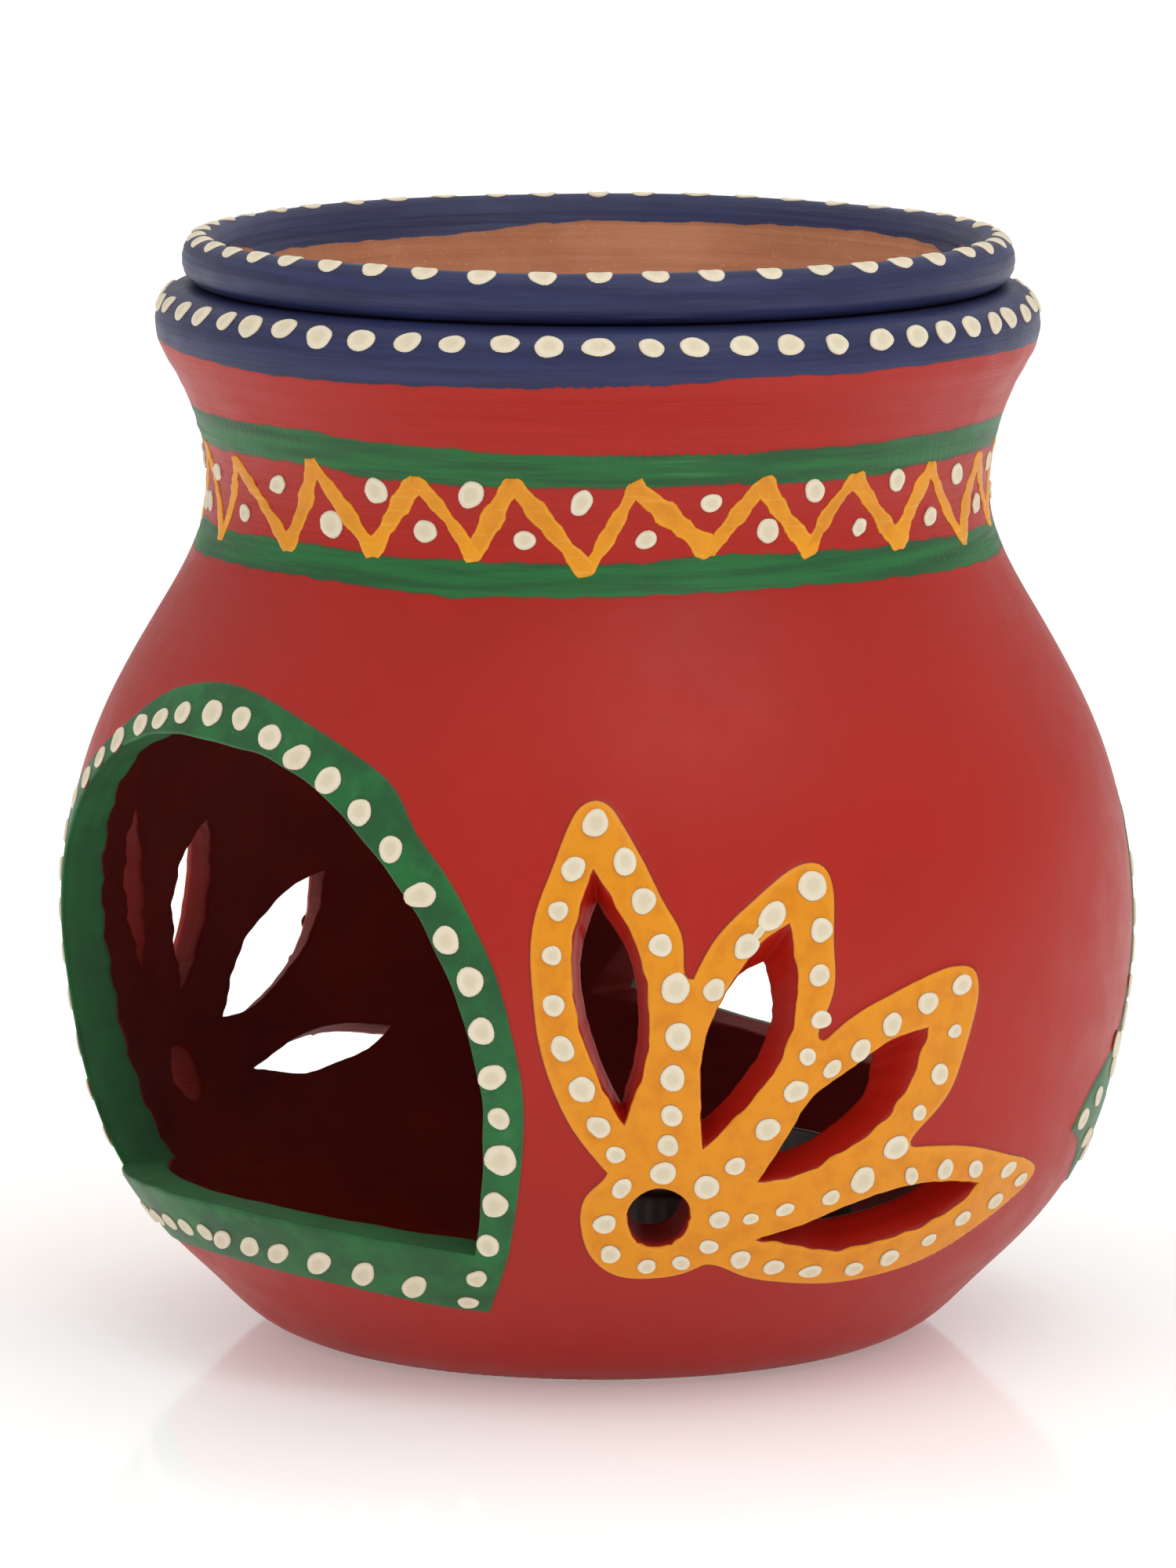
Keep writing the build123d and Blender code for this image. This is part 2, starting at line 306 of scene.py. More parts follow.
# how much each cut narrows inwards: at the tip near the flower's heart, at the far tip, and at each side
CUTS = (
    ({}, {"far": 5.4}, {"far": 6.2}, {"far": 3.0}),
    ({"near": 3.0, "far": 5.0}, {"near": 2.2, "far": 3.6}, {"near": 2.4, "far": 1.6, "side": 2.0},
     {"near": 3.8, "far": 3.6, "side": 1.3, "up": 0.9}),
)
HEART = (58.5, 21.3, 3.3)

FRAME_1 = [
    [(37.4, 9.6), (41.3, 16.7), (42.9, 23.0), (43.7, 28.2), (43.8, 36.2), (42.9, 41.1), (41.4, 46.8),
     (39.0, 51.9), (35.2, 57.7), (31.6, 61.7), (29.0, 65.2), (23.7, 68.2), (17.8, 70.3), (11.4, 72.1),
     (6.0, 73.2), (0.0, 73.6), (-5.9, 73.0), (-13.1, 70.9), (-18.2, 68.0), (-26.4, 63.3), (-35.1, 57.0),
     (-39.2, 51.4), (-41.8, 45.6), (-43.2, 40.6), (-43.9, 35.8), (-43.6, 28.2), (-42.8, 22.5),
     (-41.2, 16.5), (-38.6, 10.6)],
    [(-38.6, 10.6), (-31.2, 10.4), (-21.3, 11.2), (-10.0, 12.0), (0.0, 12.2), (6.9, 12.0), (21.3, 11.1),
     (31.2, 10.0), (37.4, 9.6)],
]
FRAME_2 = [
    [(61.4, 24.7), (57.4, 29.0), (51.5, 31.6), (46.8, 34.6), (44.2, 38.6), (42.2, 44.0), (39.4, 50.5),
     (35.4, 56.8), (30.0, 62.2), (24.0, 66.3), (17.0, 69.6), (9.0, 72.0), (0.0, 72.9)],
    [(61.4, 24.7), (55.5, 21.6), (52.6, 18.6), (44.0, 16.0), (30.0, 14.6), (15.0, 14.0), (0.0, 13.8)],
]
_f2a = [(180 - a, z) for a, z in FRAME_2[0]]
_f2b = [(180 + a, z) for a, z in reversed(FRAME_2[0][:-1])]
_f2c = [(180 + a, z - 0.4) for a, z in FRAME_2[1]][1:]
_f2d = [(180 - a, z) for a, z in reversed(FRAME_2[1][:-1])]
FRAME_2 = [_f2a + _f2b, [(241.4, 24.7)] + _f2c + _f2d[:-1]]


def square_in(z):
    """How much lower a hole cut square to the wall comes out inside."""
    s = s_out(z)
    nr, nz = float(np.interp(s, PS, NR)), float(np.interp(s, PS, NZ))
    return (float(wall_r(z)) - float(wall_r_in(z))) * nr * nz


def lens(p, mirror, seed, near=1.9, far=4.2, side=1.15, up=0.0):
    """A petal's cut: its outline outside, and inside, where the knife leaned in."""
    line = paint_line([s[:-1] for s in p], step=0.55)
    line = cut_noise(flat_mm(line), seed, 0.05) / [K, 1]
    a, b = np.array(to_flat([p[0][0]])[0]), np.array(to_flat([p[0][-1]])[0])
    phi_c, z_c = (a[0] + b[0]) / 2, None
    r, z = prof(line[:, 1])
    x = r * np.sin(line[:, 0] - phi_c)
    q = np.stack([x, z], 1)
    (ra, za), (rb, zb) = prof(a[1]), prof(b[1])
    qa, qb = np.array([ra * math.sin(a[0] - phi_c), za]), np.array([rb * math.sin(b[0] - phi_c), zb])
    mid, d = (qa + qb) / 2, (qb - qa)
    half = np.linalg.norm(d) / 2
    d = d / (2 * half)
    n = np.array([-d[1], d[0]])
    along, across = (q - mid) @ d, (q - mid) @ n
    w = np.abs(across).max()
    along *= np.where(along > 0, (half - far) / half, (half - near) / half)
    across *= (w - side) / w
    q = mid + along[:, None] * d + across[:, None] * n
    q[:, 1] -= square_in(float(mid[1])) - up
    ins = np.stack([phi_c + np.arcsin(np.clip(q[:, 0] / wall_r_in(q[:, 1]), -1, 1)), s_in(q[:, 1])], 1)
    if mirror:
        line, ins = line.copy(), ins.copy()
        line[:, 0] = -line[:, 0] - math.radians(3.5)
        ins[:, 0] = -ins[:, 0] - math.radians(3.5)
        line, ins = line[::-1], ins[::-1]
    return line, ins


def heart(mirror, seed):
    a = np.linspace(0, TAU, 40, endpoint=False)
    rad = HEART[2] * (1 + ripple(a, seed, 0.03, (2, 3, 5)))
    x, z = rad * np.cos(a), HEART[1] + rad * np.sin(a)
    c = math.radians(HEART[0])
    out = np.stack([c + np.arcsin(x / wall_r(z)), s_out(z)], 1)
    z2, x2 = HEART[1] + (z - HEART[1]) * 0.9 - square_in(HEART[1]), x * 0.9
    ins = np.stack([c + np.arcsin(x2 / wall_r_in(z2)), s_in(z2)], 1)
    if mirror:
        for v in (out, ins):
            v[:, 0] = -v[:, 0] - math.radians(3.5)
        out, ins = out[::-1], ins[::-1]
    return out, ins


holes = []
o, i = window(W1_HALF, 67.9, 19.0, 11)
holes.append(("frame", o, i))
o, i = window(W2_HALF, 67.5, 20.5, 12, back=True)
holes.append(("frame", o, i))
for mirror in (False, True):
    for k, p in enumerate(PETALS):
        o, i = lens(PETALS_2[k] if mirror else p, mirror, 20 + k + 7 * mirror, **CUTS[mirror][k])
        holes.append(("petal", o, i))
    o, i = heart(mirror, 40 + mirror)
    holes.append(("petal", o, i))

lotus_lines = [paint_line(LOTUS), paint_line(LOTUS, mirror=True)]
frame_lines = [paint_line([FRAME_1[0][:-1], FRAME_1[1][:-1]]), paint_line([FRAME_2[0][:-1], FRAME_2[1]])]

# the painted rings' edges: at each angle, the heights where the lower green begins and ends, the
# upper green begins and ends, and the blue begins
BAND_ROWS = np.array([
    (-15, 84.8, 87.7, 96.5, 100.0, 106.9), (-1, 84.9, 88.1, 96.7, 100.2, 106.4),
    (9, 84.9, 88.0, 96.7, 100.3, 106.2), (17, 84.7, 87.9, 95.9, 99.7, 106.2),
    (25, 84.4, 87.6, 95.9, 99.5, 106.4), (32, 84.1, 87.8, 95.7, 99.5, 106.4),
    (38, 84.4, 87.7, 95.8, 99.1, 106.5), (45, 84.4, 87.7, 95.7, 99.0, 106.6),
    (51, 84.5, 87.6, 95.8, 99.1, 106.7), (58, 84.6, 87.8, 95.8, 99.0, 106.9),
    (64, 84.7, 88.1, 95.9, 99.0, 107.1), (71, 84.8, 88.5, 95.9, 98.9, 107.4),
    (78, 84.9, 88.1, 95.7, 99.1, 107.5), (85, 84.9, 88.1, 95.6, 99.1, 107.2),
    (94, 84.8, 87.9, 95.7, 99.1, 107.5), (104, 84.7, 88.0, 96.2, 99.3, 107.6),
    (117, 84.5, 87.6, 96.3, 99.3, 107.4), (140, 84.4, 87.8, 95.9, 99.2, 107.0),
    (165, 84.7, 88.0, 95.8, 99.0, 106.7), (190, 84.5, 87.7, 96.1, 99.3, 106.9),
    (215, 84.8, 88.1, 95.9, 99.5, 106.5), (240, 84.6, 87.8, 96.2, 99.4, 106.8),
    (262, 84.3, 87.7, 96.0, 99.6, 107.0), (285, 84.6, 88.1, 96.1, 99.7, 106.6),
    (310, 84.7, 87.8, 96.4, 99.8, 106.9), (330, 84.5, 87.8, 96.4, 99.9, 107.1),
], float)


def band_value(phi, z):
    """0 to 4 where the five ring edges lie, straight between them: one number that says which ring a point is in."""
    deg = np.degrees(phi)
    rows = np.vstack([BAND_ROWS, BAND_ROWS[:1] + [360, 0, 0, 0, 0, 0]])
    d = (deg + 15) % 360 - 15
    e = [np.interp(d, rows[:, 0], rows[:, k + 1]) for k in range(5)]
    for k in range(5):
        e[k] = e[k] + ripple(phi, 60 + k, 0.10, (19, 31, 47, 67))
    out = np.where(z < e[0], (z - e[0]) / 4, 0.0)
    for k in range(4):
        inside = (z >= e[k]) & (z < e[k + 1])
        out = np.where(inside, k + (z - e[k]) / (e[k + 1] - e[k]), out)
    return np.where(z >= e[4], 4 + (z - e[4]) / 4, out)


# =====================================================================================
# distances on the laid-out wall
# =====================================================================================


def signed(points, line, pad=3.0):
    """Distance in mm from each (radians, along) point to a closed line, above zero inside it; -pad far from it."""
    mean_r = float(prof(line[:, 1])[0].mean())
    scale = np.array([mean_r, 1.0])
    p, a = points * scale, line * scale
    b = np.roll(a, -1, 0)
    out = np.full(len(p), -pad)
    lo, hi = a.min(0) - pad, a.max(0) + pad
    near = np.where(((p > lo) & (p < hi)).all(1))[0]
    d = b - a
    dd = np.maximum((d**2).sum(1), 1e-12)
    for c in range(0, len(near), 3000):
        idx = near[c:c + 3000]
        q = p[idx][:, None, :]
        t = np.clip(((q - a) * d).sum(2) / dd, 0, 1)
        w = q - (a + t[..., None] * d)
        dist = np.sqrt((w**2).sum(2).min(1))
        y = q[..., 1]
        cross = (a[:, 1] > y) != (b[:, 1] > y)
        with np.errstate(divide="ignore", invalid="ignore"):
            xi = a[:, 0] + (y - a[:, 1]) * d[:, 0] / np.where(d[:, 1] == 0, 1e-12, d[:, 1])
        inside = (cross & (q[..., 0] < xi)).sum(1) % 2 == 1
        out[idx] = np.clip(np.where(inside, dist, -dist), -pad, None)
    return out


def grown(line, e):
    """A closed line moved outwards by e mm, in the wall's own millimetres."""
    r = prof(line[:, 1])[0]
    mm = line * np.stack([r, np.ones_like(r)], 1)
    nxt, prv = np.roll(line, -1, 0), np.roll(line, 1, 0)
    t = (nxt - prv) * np.stack([r, np.ones_like(r)], 1)
    t /= np.maximum(np.linalg.norm(t, axis=1), 1e-9)[:, None]
    area = 0.5 * np.sum(line[:, 0] * np.roll(line[:, 1], -1) - np.roll(line[:, 0], -1) * line[:, 1])
    n = np.stack([t[:, 1], -t[:, 0]], 1) * (1 if area > 0 else -1)
    n = np.stack([n[:, 0] / r, n[:, 1]], 1)
    return line + e * n


def thin(line, step):
    x = np.vstack([line, line[:1]]) * [K, 1]
    return even(x, step)[:-1] / [K, 1]


EDGE = 0.55
for k, (kind, o, i) in enumerate(holes):
    holes[k] = {"kind": kind, "out": o, "in": i, "rim": grown(o, EDGE), "rim_in": grown(i, EDGE)}


def paint_fields(points):
    """Signed distances to the lotus and window-frame paint for outside points."""
    lot, fra = np.full(len(points), -3.0), np.full(len(points), -3.0)
    for line in lotus_lines:
        lot = np.maximum(lot, signed(points, line))
    for line in frame_lines:
        fra = np.maximum(fra, signed(points, line))
    return lot, fra


def relief(phi, s, lot, fra):
    """How far paint and throwing marks stand out from the wall."""
    z = prof(s)[1]
    out_side = (s < S_SEAT) & (s > S_BASE)
    h = 0.20 * smooth(-0.22, 0.26, lot) + 0.10 * np.exp(-((lot - 0.35) / 0.3) ** 2) * (lot > -0.5)
    h += 0.16 * smooth(-0.22, 0.3, fra) + 0.06 * np.exp(-((fra - 0.4) / 0.3) ** 2) * (fra > -0.5)
    g = smooth(83.2, 85.2, z) * (1 - smooth(99.2, 101.5, z))
    turn = phi / TAU
    h += g * 0.055 * np.sin(TAU * (z / 1.15 + turn) + 1.2 * np.sin(2 * phi)) * (0.55 + 0.45 * np.sin(z * 0.9 + phi))
    for z0, amp, w in ((85.9, -0.10, 0.16), (86.6, -0.07, 0.14), (90.6, 0.07, 0.25), (93.6, 0.08, 0.28), (97.3, 0.13, 0.35), (98.3, -0.07, 0.2)):
        zz = z0 + 0.22 * np.sin(phi * 1 + z0) + 0.08 * np.sin(3 * phi + z0)
        h += amp * np.exp(-((z - zz) / w) ** 2) * (0.75 + 0.25 * np.sin(2 * phi + z0 * 3))
    h += 0.035 * np.sin(TAU * z / 2.3 + 2 * np.sin(phi)) * smooth(100, 103, z)
    h *= out_side * (s < S_RIM)
    spiral = np.sin(TAU * (s / 4.6 + turn)) * 0.16 + 0.07 * np.sin(TAU * (s / 1.9 + turn) + 2)
    return h + spiral * smooth(S_SEAT + 4, S_SEAT + 12, s) * (1 - smooth(S_END - 6, S_END - 1, s))


# =====================================================================================
# the pot's mesh
# =====================================================================================


def pot_points():
    rows, s = [], 0.0
    zones = [
        (S_BASE - 2.0, 2.0), (S_BASE + 2.0, 0.6), (float(s_out(82.5)), 1.35), (float(s_out(101.5)), 0.33),
        (float(s_out(104.5)), 1.0), (float(s_out(112.3)) + 6.0, 0.62), (S_SEAT + 30, 1.3), (S_END, 2.0),
    ]
    for end, step in zones:
        n = max(int(math.ceil((end - s) / step)), 1)
        rows += [(s + (end - s) * k / n, step) for k in range(n)]
        s = end
    rows.append((S_END, 2.0))
    pts, seam = [], []
    for k, (s, step) in enumerate(rows):
        r = float(prof(s)[0])
        across = max(step, 1.3) if step >= 0.6 else 1.15
        n = max(int(round(TAU * max(r, 9.0) / across)), 24)
        a = (np.arange(n) + (0.5 if k % 2 else 0.0)) / n
        a = a[(a > 0.3 / n) & (a < 1 - 0.3 / n)]
        pts.append(np.stack([SEAM + TAU * a, np.full(len(a), s)], 1))
        seam += [(SEAM, s), (SEAM + TAU, s)]
    return np.vstack(pts), np.array(seam)


def build_pot():
    grid, seam = pot_points()
    lines = []                                   # constraint lines
    for h in holes:
        lines += [h["rim"], h["rim_in"]]
    for line in lotus_lines + frame_lines:
        lines.append(thin(line, 0.55))
    rings = []
    for line in lotus_lines + frame_lines:
        for e in (-0.5, -0.22, 0.24, 0.55):
            rings.append(thin(grown(line, e), 0.8))
    ring_pts = np.vstack(rings)
    every = np.vstack([grid, ring_pts])
    from_ring = np.r_[np.zeros(len(grid), bool), np.ones(len(ring_pts), bool)]
    keep = np.ones(len(every), bool)
    for h in holes:
        for key in ("rim", "rim_in"):
            d = signed(every, h[key], 1.5)
            keep &= d < np.where(from_ring, -0.22, -0.42)
    for line in lotus_lines + frame_lines:
        d = np.abs(signed(every, line, 1.5))
        keep &= d > np.where(from_ring, 0.13, 0.72)
    every = every[keep]
    pts = np.vstack([every, seam] + lines)
    edges, at = [], len(every) + len(seam)
    ns = len(seam) // 2
    for k in range(ns - 1):
        edges += [(len(every) + 2 * k, len(every) + 2 * k + 2), (len(every) + 2 * k + 1, len(every) + 2 * k + 3)]
    for line in lines:
        n = len(line)
        edges += [(at + k, at + (k + 1) % n) for k in range(n)]
        at += n
    flat = [Vector((float(p[0] * K), float(p[1]))) for p in pts]
    v2, _, tris, *_ = delaunay_2d_cdt(flat, edges, [], 0, 1e-5, False)
    v2 = np.array([(v.x / K, v.y) for v in v2])
    tris = np.array([t for t in tris if len(t) == 3])
    mid = v2[tris].mean(1)
    inside = np.zeros(len(tris), bool)
    for h in holes:
        for key in ("rim", "rim_in"):
            inside |= signed(mid, h[key], 1.0) > 0
    tris = tris[~inside]
    area = 0.5 * ((v2[tris[:, 1]] - v2[tris[:, 0]])[:, 0] * (v2[tris[:, 2]] - v2[tris[:, 0]])[:, 1]
                  - (v2[tris[:, 1]] - v2[tris[:, 0]])[:, 1] * (v2[tris[:, 2]] - v2[tris[:, 0]])[:, 0])
    tris = tris[np.abs(area) > 1e-7]
    on_a, on_b = np.abs(v2[:, 0] - SEAM) < 1e-5, np.abs(v2[:, 0] - SEAM - TAU) < 1e-5
    tris = tris[~(on_a[tris].all(1) | on_b[tris].all(1))]
    v2[on_a, 0], v2[on_b, 0] = SEAM, SEAM + TAU
    lot, fra = paint_fields(v2)
    outside = v2[:, 1] < S_SEAT
    lot, fra = np.where(outside, lot, -3), np.where(outside, fra, -3)
    z = prof(v2[:, 1])[1]
    co = surf(v2[:, 0], v2[:, 1], relief(v2[:, 0], v2[:, 1], lot, fra))
    band = np.where(outside, band_value(v2[:, 0], z), 6.0)
    ins = smooth(S_SEAT - 0.6, S_SEAT + 1.2, v2[:, 1])
    bare = 1 - smooth(S_BASE - 1.2, S_BASE + 0.2, v2[:, 1] + ripple(v2[:, 0], 3, 0.5, (3, 7, 13, 29)))
    cols = [np.stack([lot, fra, band, ins, bare, np.zeros(len(v2))], 1)]
    verts, faces, n0 = [co], [tris], len(v2)
    quads = []
    for hi, h in enumerate(holes):
        rim, rim_in, o, i = h["rim"], h["rim_in"], h["out"], h["in"]
        l0, f0 = paint_fields(rim)
        a = surf(rim[:, 0], rim[:, 1], relief(rim[:, 0], rim[:, 1], l0, f0))
        hb = relief(o[:, 0], o[:, 1], l0, f0)
        b = surf(o[:, 0], o[:, 1], hb)
        zero = np.full(len(rim), -3.0)
        d = surf(rim_in[:, 0], rim_in[:, 1], relief(rim_in[:, 0], rim_in[:, 1], zero, zero))
        c = surf(i[:, 0], i[:, 1], relief(i[:, 0], i[:, 1], zero, zero))
        way = c - b
        length = np.linalg.norm(way, axis=1)[:, None]
        way = way / length
        e1, e2 = b + way * EDGE, c - way * EDGE
        path = [a]
        for t in (0.2, 0.4, 0.6, 0.8):
            path.append((1 - t) ** 2 * a + 2 * t * (1 - t) * b + t * t * e1)
        m = 6
        for t in np.linspace(0, 1, m + 1):
            path.append(e1 + (e2 - e1) * t)
        for t in (0.2, 0.4, 0.6, 0.8, 1.0):
            path.append((1 - t) ** 2 * e2 + 2 * t * (1 - t) * c + t * t * d)
        path = np.array(path)                    # (steps, around, 3)
        along = np.roll(b, -1, 0) - np.roll(b, 1, 0)
        side = np.cross(along, way)
        side /= np.maximum(np.linalg.norm(side, axis=1), 1e-9)[:, None]
        centre = b.mean(0)
        if np.sum(side * (centre - b)) < 0:
            side = -side
        depth = np.cumsum(np.r_[np.zeros((1, path.shape[1])), np.linalg.norm(np.diff(path, axis=0), axis=2)], 0)
        total = depth[-1]
        amp = 0.05 if h["kind"] == "frame" else 0.03
        ang = np.linspace(0, TAU, path.shape[1], endpoint=False)
        for k in range(1, len(path) - 1):
            f = np.sin(math.pi * np.clip(depth[k] / total, 0, 1)) ** 0.5
            g = amp * np.sin(depth[k] * 3.4 + hi + 1.4 * np.sin(2 * ang + hi)) + ripple(ang, 90 + hi, amp * 0.7, (5, 9, 15, 22))
            path[k] += side * (f * g)[:, None]
        n, steps = path.shape[1], len(path)
        dn = depth
        if h["kind"] == "frame":
            fr = np.clip(np.minimum(1.5, (total - dn) - 0.35 + ripple(ang, 130 + hi, 0.25, (7, 13, 21))[None]), -1.0, 1.5)
            if hi == 1:
                fr = np.clip(1.3 - dn + ripple(ang, 131, 0.2, (7, 13, 21))[None], -1.0, 1.5)
            fr[0] = f0
            lo_ = np.full_like(fr, -3.0)
        else:
            lo_ = np.clip(0.62 - dn + ripple(ang, 150 + hi, 0.22, (3, 6, 11, 17))[None], -2.0, 1.0)
            lo_[0] = l0
            fr = np.full_like(lo_, -3.0)
        ones = np.ones_like(dn)
        tunnel_in = np.clip((dn - (total - 0.25)) / 0.25, 0, 1)
        # painted shade: the front flower's heart hole, the mirrored flower's cuts and the back window's cut faces take
        # the dark inside colour from 1 mm in
        if hi == 1 or hi >= 6:
            tunnel_in = np.clip((dn - 1.0) / 0.5, 0, 1)
        col = np.stack([lo_, fr, -1.5 * ones, tunnel_in, 0 * ones, np.clip(dn / total, 0, 1)], -1)
        bw = band_value(rim[:, 0], prof(rim[:, 1])[1])
        col[0, :, 2] = bw
        verts.append(path.reshape(-1, 3))
        cols.append(col.reshape(-1, 6))
        idx = n0 + np.arange(n * steps).reshape(steps, n)
        q = np.stack([idx[:-1], np.roll(idx[:-1], -1, 1), np.roll(idx[1:], -1, 1), idx[1:]], -1).reshape(-1, 4)
        quads.append(q)
        n0 += n * steps
    verts, cols = np.vstack(verts), np.vstack(cols)
    mesh = bpy.data.meshes.new("pot_shell")
    faces = [tuple(t) for t in tris.tolist()]
    for q in quads:
        faces += [tuple(t) for t in q.tolist()]
    # the two small discs round the axis, under the base and on the floor
    for s_row, z in ((0.0, 0.0), (S_END, 5.0)):
        row = np.where(np.abs(v2[:, 1] - s_row) < 1e-4)[0]
        row = row[np.argsort(v2[row, 0])]
        c = len(verts)
        verts = np.vstack([verts, [[0, 0, z]]])
        src = cols[row[0]].copy()
        cols = np.vstack([cols, src[None]])
        for k in range(len(row) - 1):
            faces.append((int(row[k]), int(row[k + 1]), c))
    mesh.from_pydata((verts * MM).tolist(), [], faces)
    names = ("lotus", "frame", "band", "inside", "bare", "tunnel")
    for k, name in enumerate(names):
        mesh.attributes.new(name, "FLOAT", "POINT").data.foreach_set("value", cols[:, k].astype(np.float32))
    bm = bmesh.new()
    bm.from_mesh(mesh)
    bmesh.ops.remove_doubles(bm, verts=bm.verts, dist=8e-6)
    at_seam = {v for v in bm.verts if v.co.xy.length > 1e-4 and v.co.xy.length
               * abs((math.atan2(v.co.x, -v.co.y) - SEAM + math.pi) % TAU - math.pi) < 2e-6}
    slivers = [f for f in bm.faces if all(v in at_seam for v in f.verts)]
    print("seam verts", len(at_seam), "slivers", len(slivers))
    bmesh.ops.delete(bm, geom=slivers, context="FACES_ONLY")
    bmesh.ops.recalc_face_normals(bm, faces=bm.faces)
    open_edges = sum(1 for e in bm.edges if len(e.link_faces) != 2)
    print("pot: verts", len(bm.verts), "faces", len(bm.faces), "open or odd edges", open_edges)
    bm.to_mesh(mesh)
    bm.free()
    mesh.polygons.foreach_set("use_smooth", [True] * len(mesh.polygons))
    obj = bpy.data.objects.new("pot_shell", mesh)
    scene.collection.objects.link(obj)
    return obj


def link(name, mesh):
    mesh.polygons.foreach_set("use_smooth", [True] * len(mesh.polygons))
    obj = bpy.data.objects.new(name, mesh)
    scene.collection.objects.link(obj)
    return obj


def solid(name, verts, faces, attrs=(), recalc=True):
    mesh = bpy.data.meshes.new(name)
    mesh.from_pydata((np.asarray(verts) * MM).tolist(), [], faces)
    for key, val in attrs:
        mesh.attributes.new(key, "FLOAT", "POINT").data.foreach_set("value", np.asarray(val, np.float32))
    if recalc:
        bm = bmesh.new()
        bm.from_mesh(mesh)
        bmesh.ops.recalc_face_normals(bm, faces=bm.faces)
        bm.to_mesh(mesh)
        bm.free()
    return link(name, mesh)


# =====================================================================================
# painted dots: small raised blobs with a sunken middle
# =====================================================================================

DOT_RINGS = [(0.0, 0.66), (0.22, 0.68), (0.45, 0.80), (0.62, 0.94), (0.76, 1.0), (0.87, 0.86), (0.95, 0.52), (1.0, 0.0), (1.03, -0.55)]


def dots(name, items, place, base, tall=0.34, seed=0):
    """items: (angle in degrees, height or arc, half width, half height, turn in degrees). place(phi, y, h) gives points."""
    g = np.random.default_rng(seed)
    seg = 18
    ang = np.linspace(0, TAU, seg, endpoint=False)
    verts, faces, rho, tone = [], [], [], []
    for a0, y0, wa, wb, turn in items:
        wa, wb = wa * 1.11, wb * 1.11
        c, sn = math.cos(math.radians(turn)), math.sin(math.radians(turn))
        k1, k2, k3 = g.uniform(0.02, 0.075), g.uniform(0.01, 0.05), g.uniform(0.0, 0.03)
        p1, p2, p3 = g.uniform(0, TAU, 3)
        shape = 1 + k1 * np.cos(2 * ang + p1) + k2 * np.cos(3 * ang + p2) + k3 * np.cos(5 * ang + p3)
        dx, dy = g.normal(0, 0.05, 2)
        h0 = tall * g.uniform(0.8, 1.15) * min(1.0, (wa * wb) ** 0.5 / 1.1)
        n0 = len(verts)
        t0 = g.uniform(0, 1)
        for q, hh in DOT_RINGS:
            pull = 1 - q
            for k in range(seg if q > 0 else 1):
                x = wa * (q * shape[k] * math.cos(ang[k]) + dx * pull)
                y = wb * (q * shape[k] * math.sin(ang[k]) + dy * pull)
                lift = base + hh * h0 * (1 + 0.08 * math.sin(ang[k] + p1)) if hh > 0 else base + hh * 0.3
                verts.append((a0, y0, x * c - y * sn, x * sn + y * c, lift))
                rho.append(min(q, 1.0))
                tone.append(t0)
        faces += [(n0, n0 + 1 + k, n0 + 1 + (k + 1) % seg) for k in range(seg)]
        for r in range(len(DOT_RINGS) - 2):
            b0 = n0 + 1 + r * seg
            for k in range(seg):
                k2_ = (k + 1) % seg
                faces.append((b0 + k, b0 + seg + k, b0 + seg + k2_, b0 + k2_))
        last = n0 + 1 + (len(DOT_RINGS) - 2) * seg
        verts.append((a0, y0, 0, 0, base - 0.17))
        rho.append(1.0)
        tone.append(t0)
        faces += [(len(verts) - 1, last + (k + 1) % seg, last + k) for k in range(seg)]
    v = np.array(verts)
    co = place(np.radians(v[:, 0]), v[:, 1], v[:, 2], v[:, 3], v[:, 4])
    return solid(name, co, faces, [("rho", rho), ("tone", tone)])


def on_wall(phi, z, x, y, h):
    s0 = s_out(z)
    r = prof(s0)[0]
    p, s = phi + x / r, s0 + y
    flat_only = np.full(len(p), -3.0)
    zz = prof(s)[1]
    ride_up = relief(p, s, flat_only, flat_only)
    return surf(p, s, h + ride_up)


COLLAR = [
    (-26.3, 111.1, 1.45, 0.95, -165), (-18.5, 111.1, 1.45, 1.08, -172), (126.4, 110.6, 1.43, 0.97, -169),
    (-11.8, 111.1, 1.5, 1.03, -158), (119.4, 110.8, 1.5, 1.15, 4), (-4.9, 111.1, 1.3, 0.95, -156),
    (114.3, 110.6, 1.35, 0.99, -148), (0.7, 111, 1.6, 1.18, -163), (108.2, 110.7, 1.39, 1.15, 15),
    (7.1, 111.2, 1.46, 1.14, -165), (102.2, 110.6, 1.46, 1.12, 3), (96.6, 110.5, 1.45, 1.13, 5),
    (13.5, 110.7, 1.55, 1.19, -173), (90.3, 110.5, 1.47, 1.1, -175), (20.1, 110.7, 1.5, 1.12, -171),
    (26.8, 110.8, 1.36, 1.04, -169), (76.6, 110.6, 1.4, 1.06, 171), (83.3, 110.4, 1.27, 0.99, 176),
    (32.9, 110.8, 1.26, 0.93, -177), (39.7, 111, 1.36, 0.99, -179), (70.3, 110.7, 1.37, 1.07, 169),
    (45.4, 110.8, 1.49, 1.05, 178), (63.8, 110.7, 1.36, 1.04, 176), (51.6, 110.8, 1.52, 1, 179),
    (58.3, 110.7, 1.24, 0.91, 168),
]
g = np.random.default_rng(21)
n = 32
for k in range(1, n):
    a = 126.4 + (360 - 26.3 - 126.4) * k / n
    COLLAR.append((a + g.normal(0, 0.4), 110.8 + g.normal(0, 0.14), g.uniform(1.28, 1.58), g.uniform(0.95, 1.18), g.uniform(-14, 14)))

